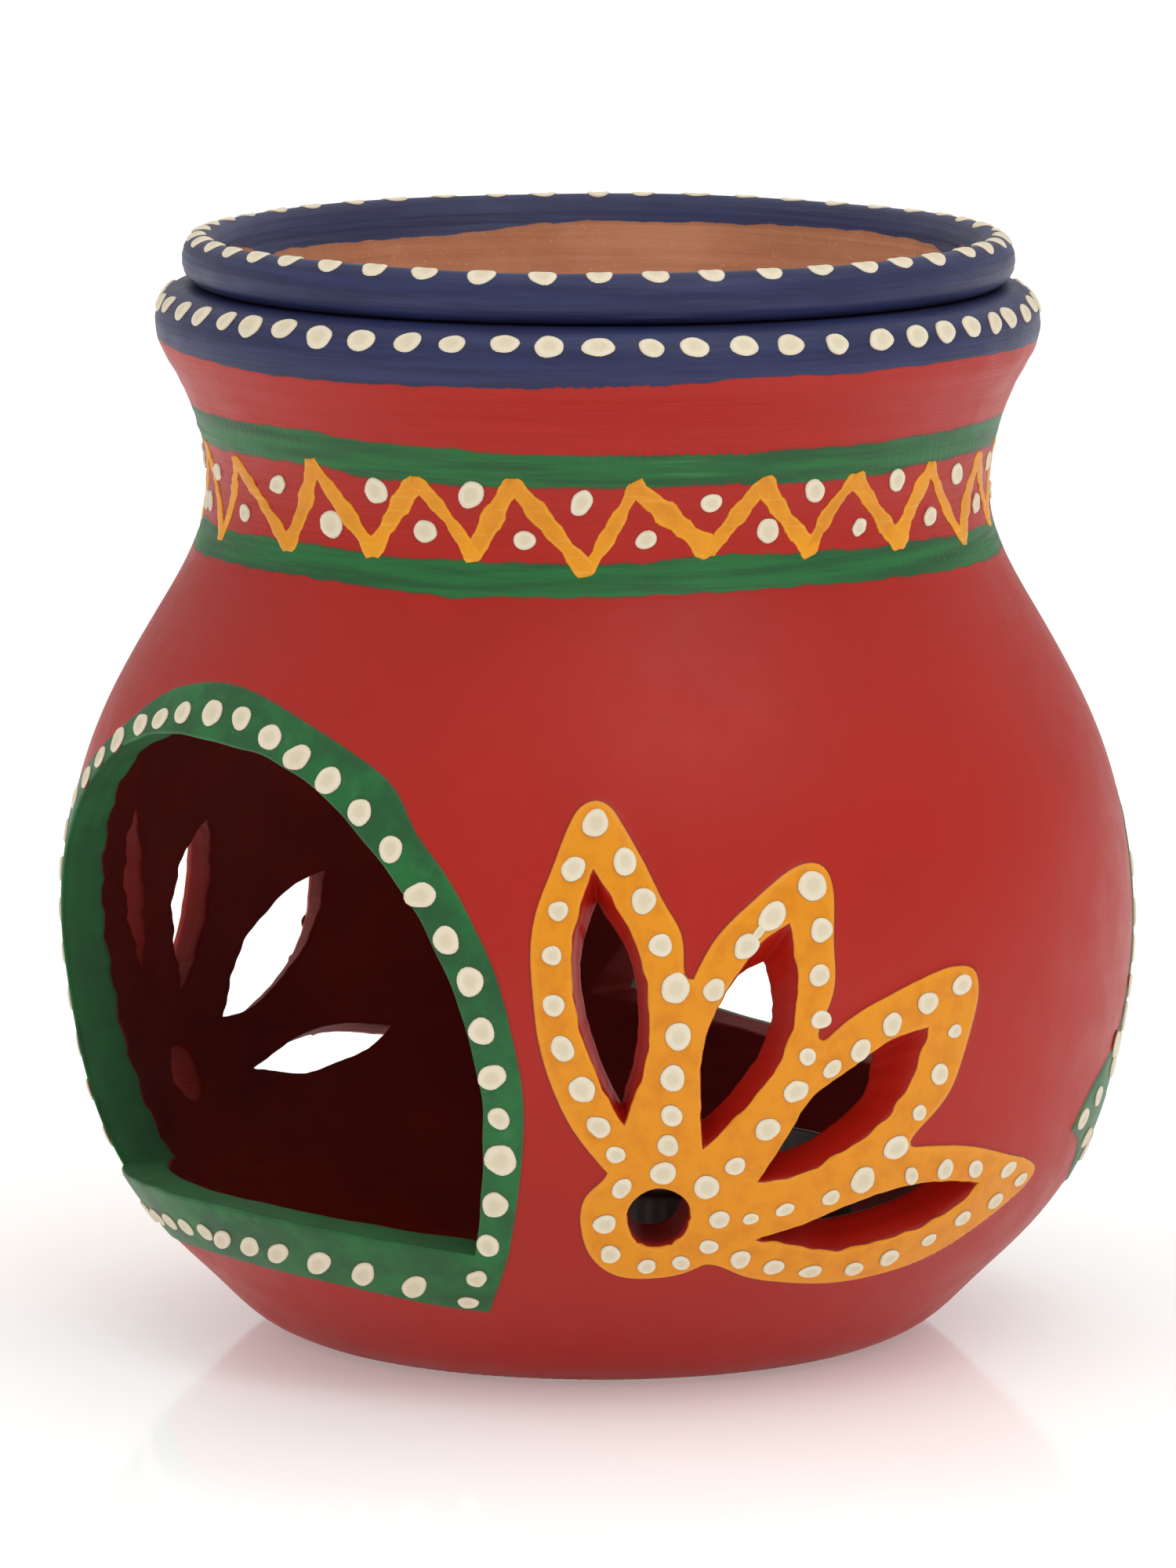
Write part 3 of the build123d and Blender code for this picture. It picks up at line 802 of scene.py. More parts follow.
ZIG = [
    (-22.1, 93.5, 1.25, 0.91, 10), (116.1, 94.2, 1.3, 1.02, 134), (99.8, 94.8, 1.18, 1.11, -71),
    (-1, 93.9, 1.27, 0.9, 21), (18.6, 94.5, 1.35, 1.23, 62), (84.1, 94.6, 1.21, 1.1, -69),
    (33.5, 94.7, 1.45, 1.2, -125), (-30.5, 89.8, 1.2, 0.95, 20), (49.3, 94.1, 1.36, 0.97, -121),
    (67.9, 93.9, 1.02, 0.95, -161), (-10.7, 90.1, 1.08, 0.87, 2), (108.4, 90.3, 1.14, 0.86, -155),
    (10.3, 90.5, 1.5, 1.29, -14), (92.5, 90.3, 0.95, 0.79, -136), (76.7, 90.7, 1.2, 1.17, -152),
    (26.4, 90.6, 1.24, 1.07, -158), (41.2, 90.1, 1.14, 0.88, -167), (58.5, 90.2, 1.11, 0.83, -158),
]
ZIGZAG = [
    (-18.3, 87.1), (-12.9, 95.5), (1.6, 87.7), (7.4, 96.7), (18.2, 88.2), (25.2, 95.8), (33.8, 88.3),
    (39.6, 96.0), (50.0, 87.1), (56.8, 95.7), (67.7, 89.0), (75.6, 95.8), (83.7, 88.5), (91.3, 95.4),
    (100.1, 88.1), (107.8, 95.6), (117.7, 87.1), (124.9, 95.3), (132.2, 88.0),
]
g = np.random.default_rng(33)
n = 24
a0, a1 = ZIGZAG[-1][0], ZIGZAG[0][0] + 360
for k in range(1, n):
    a = a0 + (a1 - a0) * k / n + g.normal(0, 0.55)
    if k % 2:
        ZIGZAG.append((a, 95.6 + g.normal(0, 0.35)))
        ZIG.append((a + g.normal(0, 0.5), 90.3 + g.normal(0, 0.25), g.uniform(0.98, 1.38), g.uniform(0.85, 1.15), g.uniform(-60, 60)))
    else:
        ZIGZAG.append((a, 87.9 + g.normal(0, 0.45)))
        ZIG.append((a + g.normal(0, 0.5), 94.3 + g.normal(0, 0.25), g.uniform(1.02, 1.42), g.uniform(0.9, 1.2), g.uniform(-60, 60)))
ZIG += [(132.4, 94.2, 1.2, 1.0, 30), (125.2, 90.3, 1.2, 0.95, 20)]

DOTS_W1 = [
    (0, 70.6, 1.5, 1.31, 153), (-5.7, 70, 1.25, 1.12, 166), (5.4, 70.6, 1.34, 1.14, 150),
    (-10.1, 68.9, 1.25, 1.07, -151), (-14.4, 67.8, 1.24, 1.17, -29), (10.9, 69.2, 1.47, 1.24, 177),
    (-19.2, 65.6, 1.35, 1.2, -114), (15.6, 67.6, 1.57, 1.25, -171), (-23.3, 63.2, 1.2, 1.02, -138),
    (20.5, 65.7, 1.41, 1.33, 172), (25.1, 62.9, 1.3, 1.25, 169), (29.3, 59.5, 1.28, 1.21, -33),
    (33, 55.1, 1.55, 1.22, 177), (36, 50.7, 1.35, 1.26, 132), (38.6, 46.6, 1.37, 1.34, 126),
    (39.8, 41.5, 1.34, 1.24, 159), (40.8, 36.7, 1.38, 1.22, -154), (41.4, 32.3, 1.12, 1.02, 97),
    (41.4, 27.8, 1.59, 1.53, 56), (40.5, 22.8, 1.46, 1.18, 59), (39.2, 18.1, 1.3, 1.13, 74),
    (37.1, 14, 1.2, 0.97, 62), (35.1, 10.9, 1.1, 0.85, 10), (28.5, 12.4, 1.93, 1.11, -122),
    (22, 13.4, 2.1, 1.05, -129), (16, 14.1, 2.3, 1.0, -135), (9.9, 14.5, 2.2, 0.9, -141),
    (5.1, 14.6, 2.2, 0.9, -143), (0, 14.7, 2.2, 0.9, -148), (-3.1, 15.1, 1.2, 1.0, -148),
    (-27.0, 60.6, 1.25, 1.1, 20), (-31.7, 57.7, 1.2, 1.1, 40), (-35.4, 53.6, 1.3, 1.15, 60),
    (-38.2, 49.0, 1.3, 1.2, 70), (-40.0, 44.2, 1.35, 1.2, 80), (-41.1, 39.4, 1.3, 1.2, 90),
    (-41.4, 34.4, 1.4, 1.2, 80), (-41.1, 29.4, 1.35, 1.25, 70), (-40.5, 24.4, 1.3, 1.15, 60),
    (-39.5, 19.6, 1.3, 1.1, 60), (-37.8, 15.2, 1.25, 1.05, 50), (-34.2, 12.9, 1.3, 1.0, 20),
    (-29.0, 13.4, 1.4, 1.05, 10), (-23.5, 13.9, 1.35, 1.1, -10), (-18.2, 14.3, 1.45, 1.1, 0),
    (-13.0, 14.7, 1.4, 1.05, 0), (-8.0, 14.9, 1.3, 1.05, 10),
]
DOTS_L1 = [
    (51.4, 62.7, 1.35, 1.22, 91), (54.5, 58.9, 1.28, 1.15, 90), (49.1, 58.2, 1.21, 1.1, -123),
    (74.7, 55.8, 1.55, 1.37, -154), (56.4, 55, 1.24, 1.17, 108), (47.6, 54, 0.96, 0.94, -156),
    (70, 53, 1.69, 1.12, -143), (75.4, 51.3, 1.17, 1.14, -171), (58.1, 50.5, 1.16, 1.05, 123),
    (67.1, 50.1, 1.39, 1.06, -129), (47, 49.5, 0.98, 0.89, 96), (75, 46.7, 1.09, 1.05, -115),
    (59.6, 46.1, 1.54, 1.29, -90), (92.7, 44.1, 1.27, 0.96, -161), (63.6, 45.8, 1.12, 1.02, -136),
    (88.1, 42.7, 1.25, 1.04, -158), (47.2, 44.4, 1.08, 1.02, 114), (75.2, 42.1, 1.03, 0.92, -176),
    (83.6, 40.9, 1.18, 1.06, -112), (59.9, 41.1, 1.42, 1.18, -89), (91.9, 39.3, 0.85, 0.67, -168),
    (48.1, 39.9, 1.24, 1.12, 110), (79.9, 38.5, 1.19, 1, -141), (73.8, 38.3, 0.88, 0.86, 178),
    (76.7, 36.8, 1.01, 0.81, -145), (90.3, 34.9, 1.08, 1.07, 173), (59.4, 36.7, 1.33, 1.16, 121),
    (50.1, 35.6, 1.35, 1.2, 135), (72.7, 34.7, 1.24, 1.1, -150), (88.1, 31, 0.87, 0.79, 156),
    (59.4, 32.7, 1.1, 1, 142), (51.8, 31.6, 1.21, 1, 143), (69.8, 30.8, 1.28, 1.1, -150),
    (59.1, 29.5, 1.14, 0.97, 136), (85.6, 27.5, 1.39, 1.26, -171), (53.6, 28.6, 0.93, 0.87, 134),
    (66.5, 27, 1.03, 0.89, -146), (93.3, 24.2, 1.15, 0.99, -69), (98.3, 23.6, 1.15, 0.85, 127),
    (104.7, 22.6, 1.2, 0.8, -154), (58.7, 26.5, 1.25, 1.18, 159), (88.4, 24.1, 1.05, 0.75, -64),
    (81.9, 24.3, 1.45, 1.3, 133), (108.4, 20.9, 1.1, 0.7, -166), (63.5, 24.8, 1.33, 1.17, 122),
    (54.3, 24.9, 1.09, 0.87, -124), (78.2, 22.7, 1.03, 0.74, -165), (104.5, 19.1, 1.1, 0.9, -179),
    (72.8, 21.8, 1.01, 0.65, -159), (65.3, 21.1, 1.05, 0.96, -167), (99.3, 17.9, 1.05, 0.88, -163),
    (68.9, 21, 0.84, 0.6, -169), (52.5, 20.9, 1.12, 1.03, -142), (94.9, 16, 0.92, 0.75, 168),
    (64.5, 18, 0.95, 0.84, 168), (53.2, 17.4, 1.08, 0.98, 78), (89.5, 14.6, 1.2, 1.0, 144),
    (68.6, 16.3, 1.11, 1.06, 139), (61.5, 16.2, 0.95, 0.84, 135), (57.5, 15.9, 0.95, 0.88, 123),
    (73.1, 15.1, 1.05, 0.96, 179), (84.7, 13.8, 1.12, 0.91, 160), (78.4, 14.1, 1.25, 0.82, 173),
    (68.5, 51.5, 1.1, 0.42, -132),
]
g = np.random.default_rng(55)
DOTS_L2 = [(-a - 3.5 + g.normal(0, 0.3), z + g.normal(0, 0.2), wa * g.uniform(0.9, 1.1), wb * g.uniform(0.9, 1.1), 180 - t + g.uniform(-25, 25)) for a, z, wa, wb, t in DOTS_L1[:-1]]


def between(opening, line, count, seed, shift=0.0):
    """Dots spaced along the middle of a painted frame, from its opening's edge and its outer line."""
    gg = np.random.default_rng(seed)
    o = thin(opening, 0.5)
    r = prof(o[:, 1])[0]
    sc = np.stack([r, np.ones_like(r)], 1)
    out = []
    d = np.r_[0, np.cumsum(np.linalg.norm(np.diff(np.vstack([o, o[:1]]) * np.vstack([sc, sc[:1]]), axis=0), axis=1))]
    at = (np.arange(count) + shift + gg.normal(0, 0.06, count)) / count * d[-1]
    for t in at:
        k = int(np.searchsorted(d, t % d[-1])) % len(o)
        w = (line - o[k]) * [r[k], 1]
        j = int(np.argmin((w**2).sum(1)))
        m = o[k] * 0.46 + line[j] * 0.54
        out.append((math.degrees(m[0]), float(prof(m[1])[1]), gg.uniform(1.2, 1.5), gg.uniform(1.05, 1.3), gg.uniform(-90, 90)))
    return out


DOTS_W2 = [x for x in between(holes[1]["out"], frame_lines[1], 50, 77) if not (124 < x[0] < 131 or 229 < x[0] < 236)]
DOTS_W2 += [(126.2, 27.1, 1.35, 1.02, 164), (121.6, 25.4, 1.3, 1.1, 176), (130.3, 32.0, 1.3, 1.1, 60),
            (126.9, 22.4, 1.25, 1.0, 30), (131.6, 20.2, 1.3, 1.1, 20), (233.8, 27.0, 1.3, 1.1, 10),
            (238.2, 25.2, 1.3, 1.0, 0), (229.6, 32.2, 1.3, 1.1, 60), (233.2, 22.2, 1.3, 1.0, 30), (228.4, 20.0, 1.3, 1.1, 20)]


# =====================================================================================
# the zigzag: overlapping brush strokes of thick paint
# =====================================================================================


def zigzag():
    g = np.random.default_rng(5)
    verts, faces, edge, tone = [], [], [], []
    pts = ZIGZAG + [(ZIGZAG[0][0] + 360, ZIGZAG[0][1])]
    cross = [-1.0, -0.86, -0.55, 0.0, 0.55, 0.86, 1.0]
    high = [-0.35, 0.55, 0.92, 0.88, 0.92, 0.55, -0.35]
    for k in range(len(pts) - 1):
        (a0, z0), (a1, z1) = pts[k], pts[k + 1]
        r = float(wall_r(91.0))
        p0 = np.array([math.radians(a0) * r, float(s_out(z0))])
        p1 = np.array([math.radians(a1) * r, float(s_out(z1))])
        d = p1 - p0
        length = np.linalg.norm(d)
        d /= length
        nrm = np.array([-d[1], d[0]])
        low0 = z0 < z1
        n = 26
        t = np.linspace(0, 1, n)
        bow = g.normal(0, 0.22)
        half = 0.98 + 0.15 * g.standard_normal()
        half = np.clip(half, 0.74, 1.25)
        w = half * (1 + 0.16 * np.sin(t * g.uniform(7, 14) + g.uniform(0, 6)) + 0.10 * np.sin(t * g.uniform(18, 30) + g.uniform(0, 6)))
        foot = np.exp(-((t if low0 else 1 - t) / 0.10) ** 2) * g.uniform(0.05, 0.28)
        headw = np.exp(-((1 - t if low0 else t) / 0.09) ** 2) * g.uniform(0.0, 0.25)
        w = w + foot + headw
        cap = 0.75
        e = np.minimum(t * (length + 2 * cap), (1 - t) * (length + 2 * cap))
        w = w * np.sqrt(np.clip(1 - (1 - np.clip(e / (1.1 * cap), 0, 1)) ** 2, 0.02, 1))
        mid = p0 - d * cap * 0.8 + np.outer(t, d * (length + 1.6 * cap)) + np.outer(bow * np.sin(math.pi * t), nrm)
        lift = 0.15 * g.uniform(0.85, 1.15) + 0.035 * np.sin(t * 23 + k)
        n0 = len(verts)
        t0 = g.uniform(0, 1)
        for q in range(n):
            for c, h in zip(cross, high):
                jag = 1 + 0.05 * math.sin(q * 2.1 + k + 3 * c)
                x = mid[q] + nrm * w[q] * c * jag
                verts.append((x[0] / r, x[1], max(h, -0.35) * lift[q] + 0.02 * (k % 2)))
                edge.append(abs(c))
                tone.append(np.clip(t0 * 0.5 + 0.5 * math.exp(-((t[q] if low0 else 1 - t[q]) / 0.25) ** 2), 0, 1))
        m = len(cross)
        for q in range(n - 1):
            for c in range(m - 1):
                i = n0 + q * m + c
                faces.append((i, i + 1, i + m + 1, i + m))
            i = n0 + q * m
            faces.append((i + m - 1, i, i + m, i + 2 * m - 1))
        faces.append(tuple(n0 + c for c in range(m)))
        faces.append(tuple(n0 + (n - 1) * m + c for c in reversed(range(m))))
    v = np.array(verts)
    flat_only = np.full(len(v), -3.0)
    co = surf(v[:, 0], v[:, 1], v[:, 2] + relief(v[:, 0], v[:, 1], flat_only, flat_only))
    return solid("zigzag_strokes", co, faces, [("rho", edge), ("tone", tone)])


# =====================================================================================
# turned pieces: the dish and the tealight
# =====================================================================================


def turned(name, profile, segs, centre=(0.0, 0.0), move=None, attrs=None, closed=False):
    """A profile of (r, z) points turned about a vertical axis. move(phi, k) shifts (r, z)."""
    p = np.array(profile, float)
    phi = np.linspace(0, TAU, segs, endpoint=False)
    first_axis, last_axis = p[0, 0] < 1e-6, p[-1, 0] < 1e-6
    body = p[(1 if first_axis else 0):(len(p) - 1 if last_axis else len(p))]
    n = len(body)
    rr = np.repeat(body[:, 0][:, None], segs, 1)
    zz = np.repeat(body[:, 1][:, None], segs, 1)
    if move is not None:
        dr, dz = move(np.repeat(phi[None], n, 0), rr, zz)
        rr, zz = rr + dr, zz + dz
    co = np.stack([centre[0] + rr * np.sin(phi), centre[1] - rr * np.cos(phi), zz], -1).reshape(-1, 3)
    faces = []
    idx = np.arange(n * segs).reshape(n, segs)
    last = n if not closed else n + 1
    for k in range(last - 1):
        a, b = idx[k % n], idx[(k + 1) % n]
        faces += np.stack([a, np.roll(a, -1), np.roll(b, -1), b], 1).tolist()
    ph = np.tile(phi, n)
    kk = np.repeat(np.arange(n), segs)
    if first_axis:
        co = np.vstack([co, [[centre[0], centre[1], p[0, 1]]]])
        c = len(co) - 1
        faces += [(int(idx[0][(j + 1) % segs]), int(idx[0][j]), c) for j in range(segs)]
        ph, kk = np.r_[ph, 0], np.r_[kk, 0]
    if last_axis:
        co = np.vstack([co, [[centre[0], centre[1], p[-1, 1]]]])
        c = len(co) - 1
        faces += [(int(idx[-1][j]), int(idx[-1][(j + 1) % segs]), c) for j in range(segs)]
        ph, kk = np.r_[ph, 0], np.r_[kk, n - 1]
    off = 1 if first_axis else 0
    extra = attrs(ph, kk + off, co) if attrs else []
    return solid(name, co, faces, extra)


def dish_profile():
    under = spline([(20.0, 96.8), (28.5, 98.2), (34.6, 102.2), (38.2, 107.6), (39.8, 111.6)], 0.5)
    lip = spline([(42.7, 112.6), (43.9, 113.4), (44.45, 115.2), (44.1, 116.8), (42.6, 118.0), (41.0, 117.2), (39.9, 115.0)], 0.3)
    bowl = spline([(39.9, 115.0), (37.6, 111.0), (34.9, 107.4), (31.0, 103.9), (25.4, 101.3), (19.0, 100.2)], 0.6)
    line = np.vstack([
        even(np.array([(0.3, 96.8), (20.0, 96.8)]), 1.5), under[1:], [(40.2, 112.6)],
        even(np.array([(40.2, 112.6), (42.7, 112.6)]), 0.5)[1:], lip[1:], bowl[1:],
        even(np.array([(19.0, 100.2), (0.3, 100.2)]), 1.5)[1:],
    ])
    fine = even(line, 0.1)
    fine = np.stack([blur(fine[:, 0], 3), blur(fine[:, 1], 3)], 1)
    fine[0], fine[-1] = (0.3, 96.8), (0.3, 100.2)
    d = np.r_[0, np.cumsum(np.linalg.norm(np.diff(fine, axis=0), axis=1))]
    crest = float(d[np.argmax(fine[:, 1])])
    out, s = [], 0.0
    while s < d[-1]:
        out.append(s)
        s += 0.32 if abs(s - crest) < 9 else 0.9
    out = np.r_[out, d[-1]]
    return np.stack([np.interp(out, d, fine[:, 0]), np.interp(out, d, fine[:, 1])], 1), out, crest


DP, DS, CREST = dish_profile()
DN = np.stack([np.gradient(DP[:, 1]), -np.gradient(DP[:, 0])], 1)
DN /= np.linalg.norm(DN, axis=1)[:, None]
# how far inside the crest the blue stops, by angle
DRIP = np.array([(0, 4.2), (30, 4.0), (60, 3.8), (95, 3.5), (130, 3.4), (140, 3.4), (150, 3.5), (155, 3.6), (160, 5.2),
                 (165, 4.43), (172, 4.1), (178, 4.06), (187, 3.82), (195, 3.87), (209, 4.15), (222, 4.15), (228, 4.1),
                 (234, 4.2), (241, 4.35), (247, 4.94), (254, 5.36), (261, 5.69), (277, 5.55), (290, 5.5), (298, 5.9),
                 (303, 4.2), (312, 3.6), (330, 3.6), (345, 3.8), (360, 4.2)], float)


def dish_move(phi, r, z):
    w = (0.10 * np.sin(2 * phi + 1) + 0.07 * np.sin(3 * phi) + 0.04 * np.sin(5 * phi + 2)) * smooth(103, 114, z)
    lift = (0.10 * np.sin(phi + 0.7) + 0.07 * np.sin(3 * phi + 2) + 0.05 * np.sin(7 * phi)) * smooth(112.8, 117, z)
    inner = smooth(40.5, 36.0, r) * (z > 100.0) * (z < 116)
    ridge = 0.07 * np.sin(TAU * z / 1.7 + phi) * inner
    brush = 0.035 * np.sin(TAU * z / 0.9 + 3 * np.sin(phi)) * smooth(112.8, 113.6, z)
    return w + ridge + brush - 0.0, lift - 0.12 * smooth(112.8, 117, z)


def dish_attrs(phi, k, co):
    s = DS[np.clip(k, 0, len(DS) - 1)]
    inside = s - CREST
    stop = np.interp(np.degrees(phi) % 360, DRIP[:, 0], DRIP[:, 1]) + ripple(phi, 44, 0.16, (13, 23, 37, 59))
    seat_s = float(np.interp(0, [0, 1], [0, 1]))
    under = np.interp(s, [0, CREST - 9.4, CREST - 7.6, CREST], [-3, -1.2, 1.5, 3])
    blue = np.minimum(stop - inside, np.where(s < CREST, under, 9))
    return [("blue", blue), ("deep", np.clip(inside, -12, 60))]


def build_dish():
    return turned("dish_body", DP, 260, move=dish_move, attrs=dish_attrs)


def on_dish(phi, inside, x, y, h):
    """A point on the dish's lip: `inside` mm in from the crest, then x round and y along, h out."""
    s = CREST + inside - y
    r, z = np.interp(s, DS, DP[:, 0]), np.interp(s, DS, DP[:, 1])
    nr, nz = np.interp(s, DS, DN[:, 0]), np.interp(s, DS, DN[:, 1])
    p = phi + x / np.maximum(r, 1)
    dr, dz = dish_move(p, r, z)
    r, z = r + dr + h * nr, z + dz + h * nz
    return np.stack([r * np.sin(p), -r * np.cos(p), z], -1)


LIP = [(115.6, 1.4), (106.4, 1.45), (98.8, 1.35), (91.9, 1.45), (84, 1.35), (75.8, 1.3), (67.3, 1.33), (59.5, 1.3),
       (51.8, 1.3), (44.0, 1.35), (35.5, 1.35), (27.1, 1.4), (19.3, 1.35), (11.6, 1.4), (3.5, 1.4), (-3.9, 1.45),
       (-11.5, 1.4), (-19.0, 1.4)]
g = np.random.default_rng(66)
LIP_DOTS = [(a, -0.45 + g.normal(0, 0.12), w, g.uniform(1.1, 1.25), g.uniform(-12, 12)) for a, w in LIP]
n = 29
for k in range(1, n):
    a = 115.6 + (360 - 19.0 - 115.6) * k / n
    LIP_DOTS.append((a + g.normal(0, 0.5), -0.45 + g.normal(0, 0.15), g.uniform(1.2, 1.5), g.uniform(1.05, 1.25), g.uniform(-15, 15)))

CX, CY = 5.6, 7.0
CZ = 5.1


def build_candle():
    made = []
    r0 = 18.8
    side = [(0.0, CZ), (4.0, CZ), (11.0, CZ + 0.02), (15.4, CZ), (17.0, CZ), (17.8, CZ + 0.10), (18.35, CZ + 0.42), (18.65, CZ + 0.95), (18.75, CZ + 1.6)]
    side += [(18.8, CZ + 1.6 + k) for k in np.linspace(0.6, 9.8, 17)]
    side += [(18.85, CZ + 11.9), (19.08, CZ + 12.05), (19.19, CZ + 12.3), (19.2, CZ + 12.6), (19.1, CZ + 12.86), (18.92, CZ + 12.98),
             (18.72, CZ + 12.93), (18.6, CZ + 12.75), (18.55, CZ + 12.4)]
    side += [(18.5, z) for z in np.linspace(CZ + 11.8, CZ + 1.6, 16)]
    side += [(18.4, CZ + 1.0), (18.05, CZ + 0.62), (17.4, CZ + 0.42), (15.0, CZ + 0.4), (8.0, CZ + 0.4), (0.0, CZ + 0.4)]

    def flute(phi, r, z):
        f = smooth(CZ + 0.8, CZ + 2.2, z) * (1 - smooth(CZ + 10.6, CZ + 11.8, z)) * smooth(17.8, 18.4, r)
        soft = 0.03 * np.sin(3 * phi + 1) + 0.02 * np.sin(5 * phi)
        return -0.07 * f * (0.5 + 0.5 * np.cos(72 * phi)) + soft * smooth(CZ + 2, CZ + 10, z) * 0.6 - 0.02, 0.0 * r

    cup = turned("cup_foil", side, 576, (CX, CY), flute)
    made.append((cup, "tealight_cup"))
    top = CZ + 9.2
    wax = [(0.72, CZ + 0.85), (7.4, CZ + 0.85), (7.9, CZ + 0.45), (17.2, CZ + 0.45), (17.9, CZ + 0.7), (18.28, CZ + 1.2), (18.36, CZ + 2.5),
           (18.36, top - 0.6), (18.36, top + 0.12), (18.25, top + 0.13), (17.9, top - 0.03), (17.4, top - 0.14),
           (16.6, top - 0.2), (15.0, top - 0.25), (12.5, top - 0.3), (10.0, top - 0.34), (7.5, top - 0.38), (5.0, top - 0.44),
           (3.4, top - 0.52), (2.2, top - 0.5), (1.4, top - 0.36), (1.0, top - 0.2), (0.76, top - 0.1)]

    def slump(phi, r, z):
        f = smooth(top - 1.0, top - 0.5, z) * (1 - smooth(17.6, 18.3, r)) * smooth(0.8, 3.0, r)
        return 0.0 * r, f * (0.05 * np.sin(2 * phi + r / 3) + 0.03 * np.sin(5 * phi - r / 2) - 0.03)

    body = turned("wax_fill", wax, 128, (CX, CY), slump, closed=True)
    made.append((body, "tealight_wax"))
    z0 = CZ + 0.42
    sus = [(0.74, z0 + 4.3), (1.18, z0 + 4.3), (1.22, z0 + 4.1), (1.22, z0 + 0.7), (1.5, z0 + 0.42), (2.2, z0 + 0.32), (5.0, z0 + 0.3),
           (7.0, z0 + 0.3), (7.42, z0 + 0.24), (7.5, z0 + 0.12), (7.4, z0 + 0.02), (5.0, z0), (0.74, z0)]
    tab = turned("wick_tab", sus, 72, (CX, CY), closed=True)
    made.append((tab, "wick_sustainer"))
    # the wick: three strands braided about each other, with a frayed, leaning tip
    z_w, length = CZ + 0.74, 15.2
    verts, faces, tone = [], [], []
    rows, seg = 150, 10
    for strand in range(3):
        n0 = len(verts)
        for q in range(rows + 1):
            t = q / rows
            z = z_w + t * length
            turn = TAU * (t * 9.0) + strand * TAU / 3
            rad = 0.34
            lean = 0.32 * smooth(0.62, 1.0, t)
            cx = CX + rad * math.cos(turn) * 0.85 + float(lean)
            cy = CY + rad * math.sin(turn) * 0.85 - float(lean) * 0.3
            thick = 0.335 * (1 - 0.25 * float(smooth(0.93, 1.0, t)))
            tx, ty = -math.sin(turn), math.cos(turn)
            for k in range(seg):
                a = TAU * k / seg
                fluff = 1 + 0.10 * math.sin(5 * a + q * 1.3 + strand)
                ox = thick * fluff * math.cos(a)
                oy = thick * fluff * math.sin(a)
                verts.append((cx + ox * math.cos(turn) - oy * math.sin(turn) * 0.9, cy + ox * math.sin(turn) + oy * math.cos(turn) * 0.9, z + 0.18 * math.sin(a) * 0.9))
                tone.append(t)
        for q in range(rows):
            for k in range(seg):
                i, j = n0 + q * seg + k, n0 + q * seg + (k + 1) % seg
                faces.append((i, j, j + seg, i + seg))
        faces.append(tuple(n0 + k for k in reversed(range(seg))))
        faces.append(tuple(n0 + rows * seg + k for k in range(seg)))
    v = np.array(verts)
    v[:, 2] = np.clip(v[:, 2], z_w, None)
    wick = solid("wick_braid", v, faces, [("tone", tone)])
    made.append((wick, "tealight_wick"))
    return made


# =====================================================================================
# materials
# =====================================================================================


def lin(r, g, b, a=1.0):
    """A screen colour (0-255) as a linear one."""
    f = [(c / 255 / 12.92) if c / 255 <= 0.04045 else ((c / 255 + 0.055) / 1.055) ** 2.4 for c in (r, g, b)]
    return (*f, a)


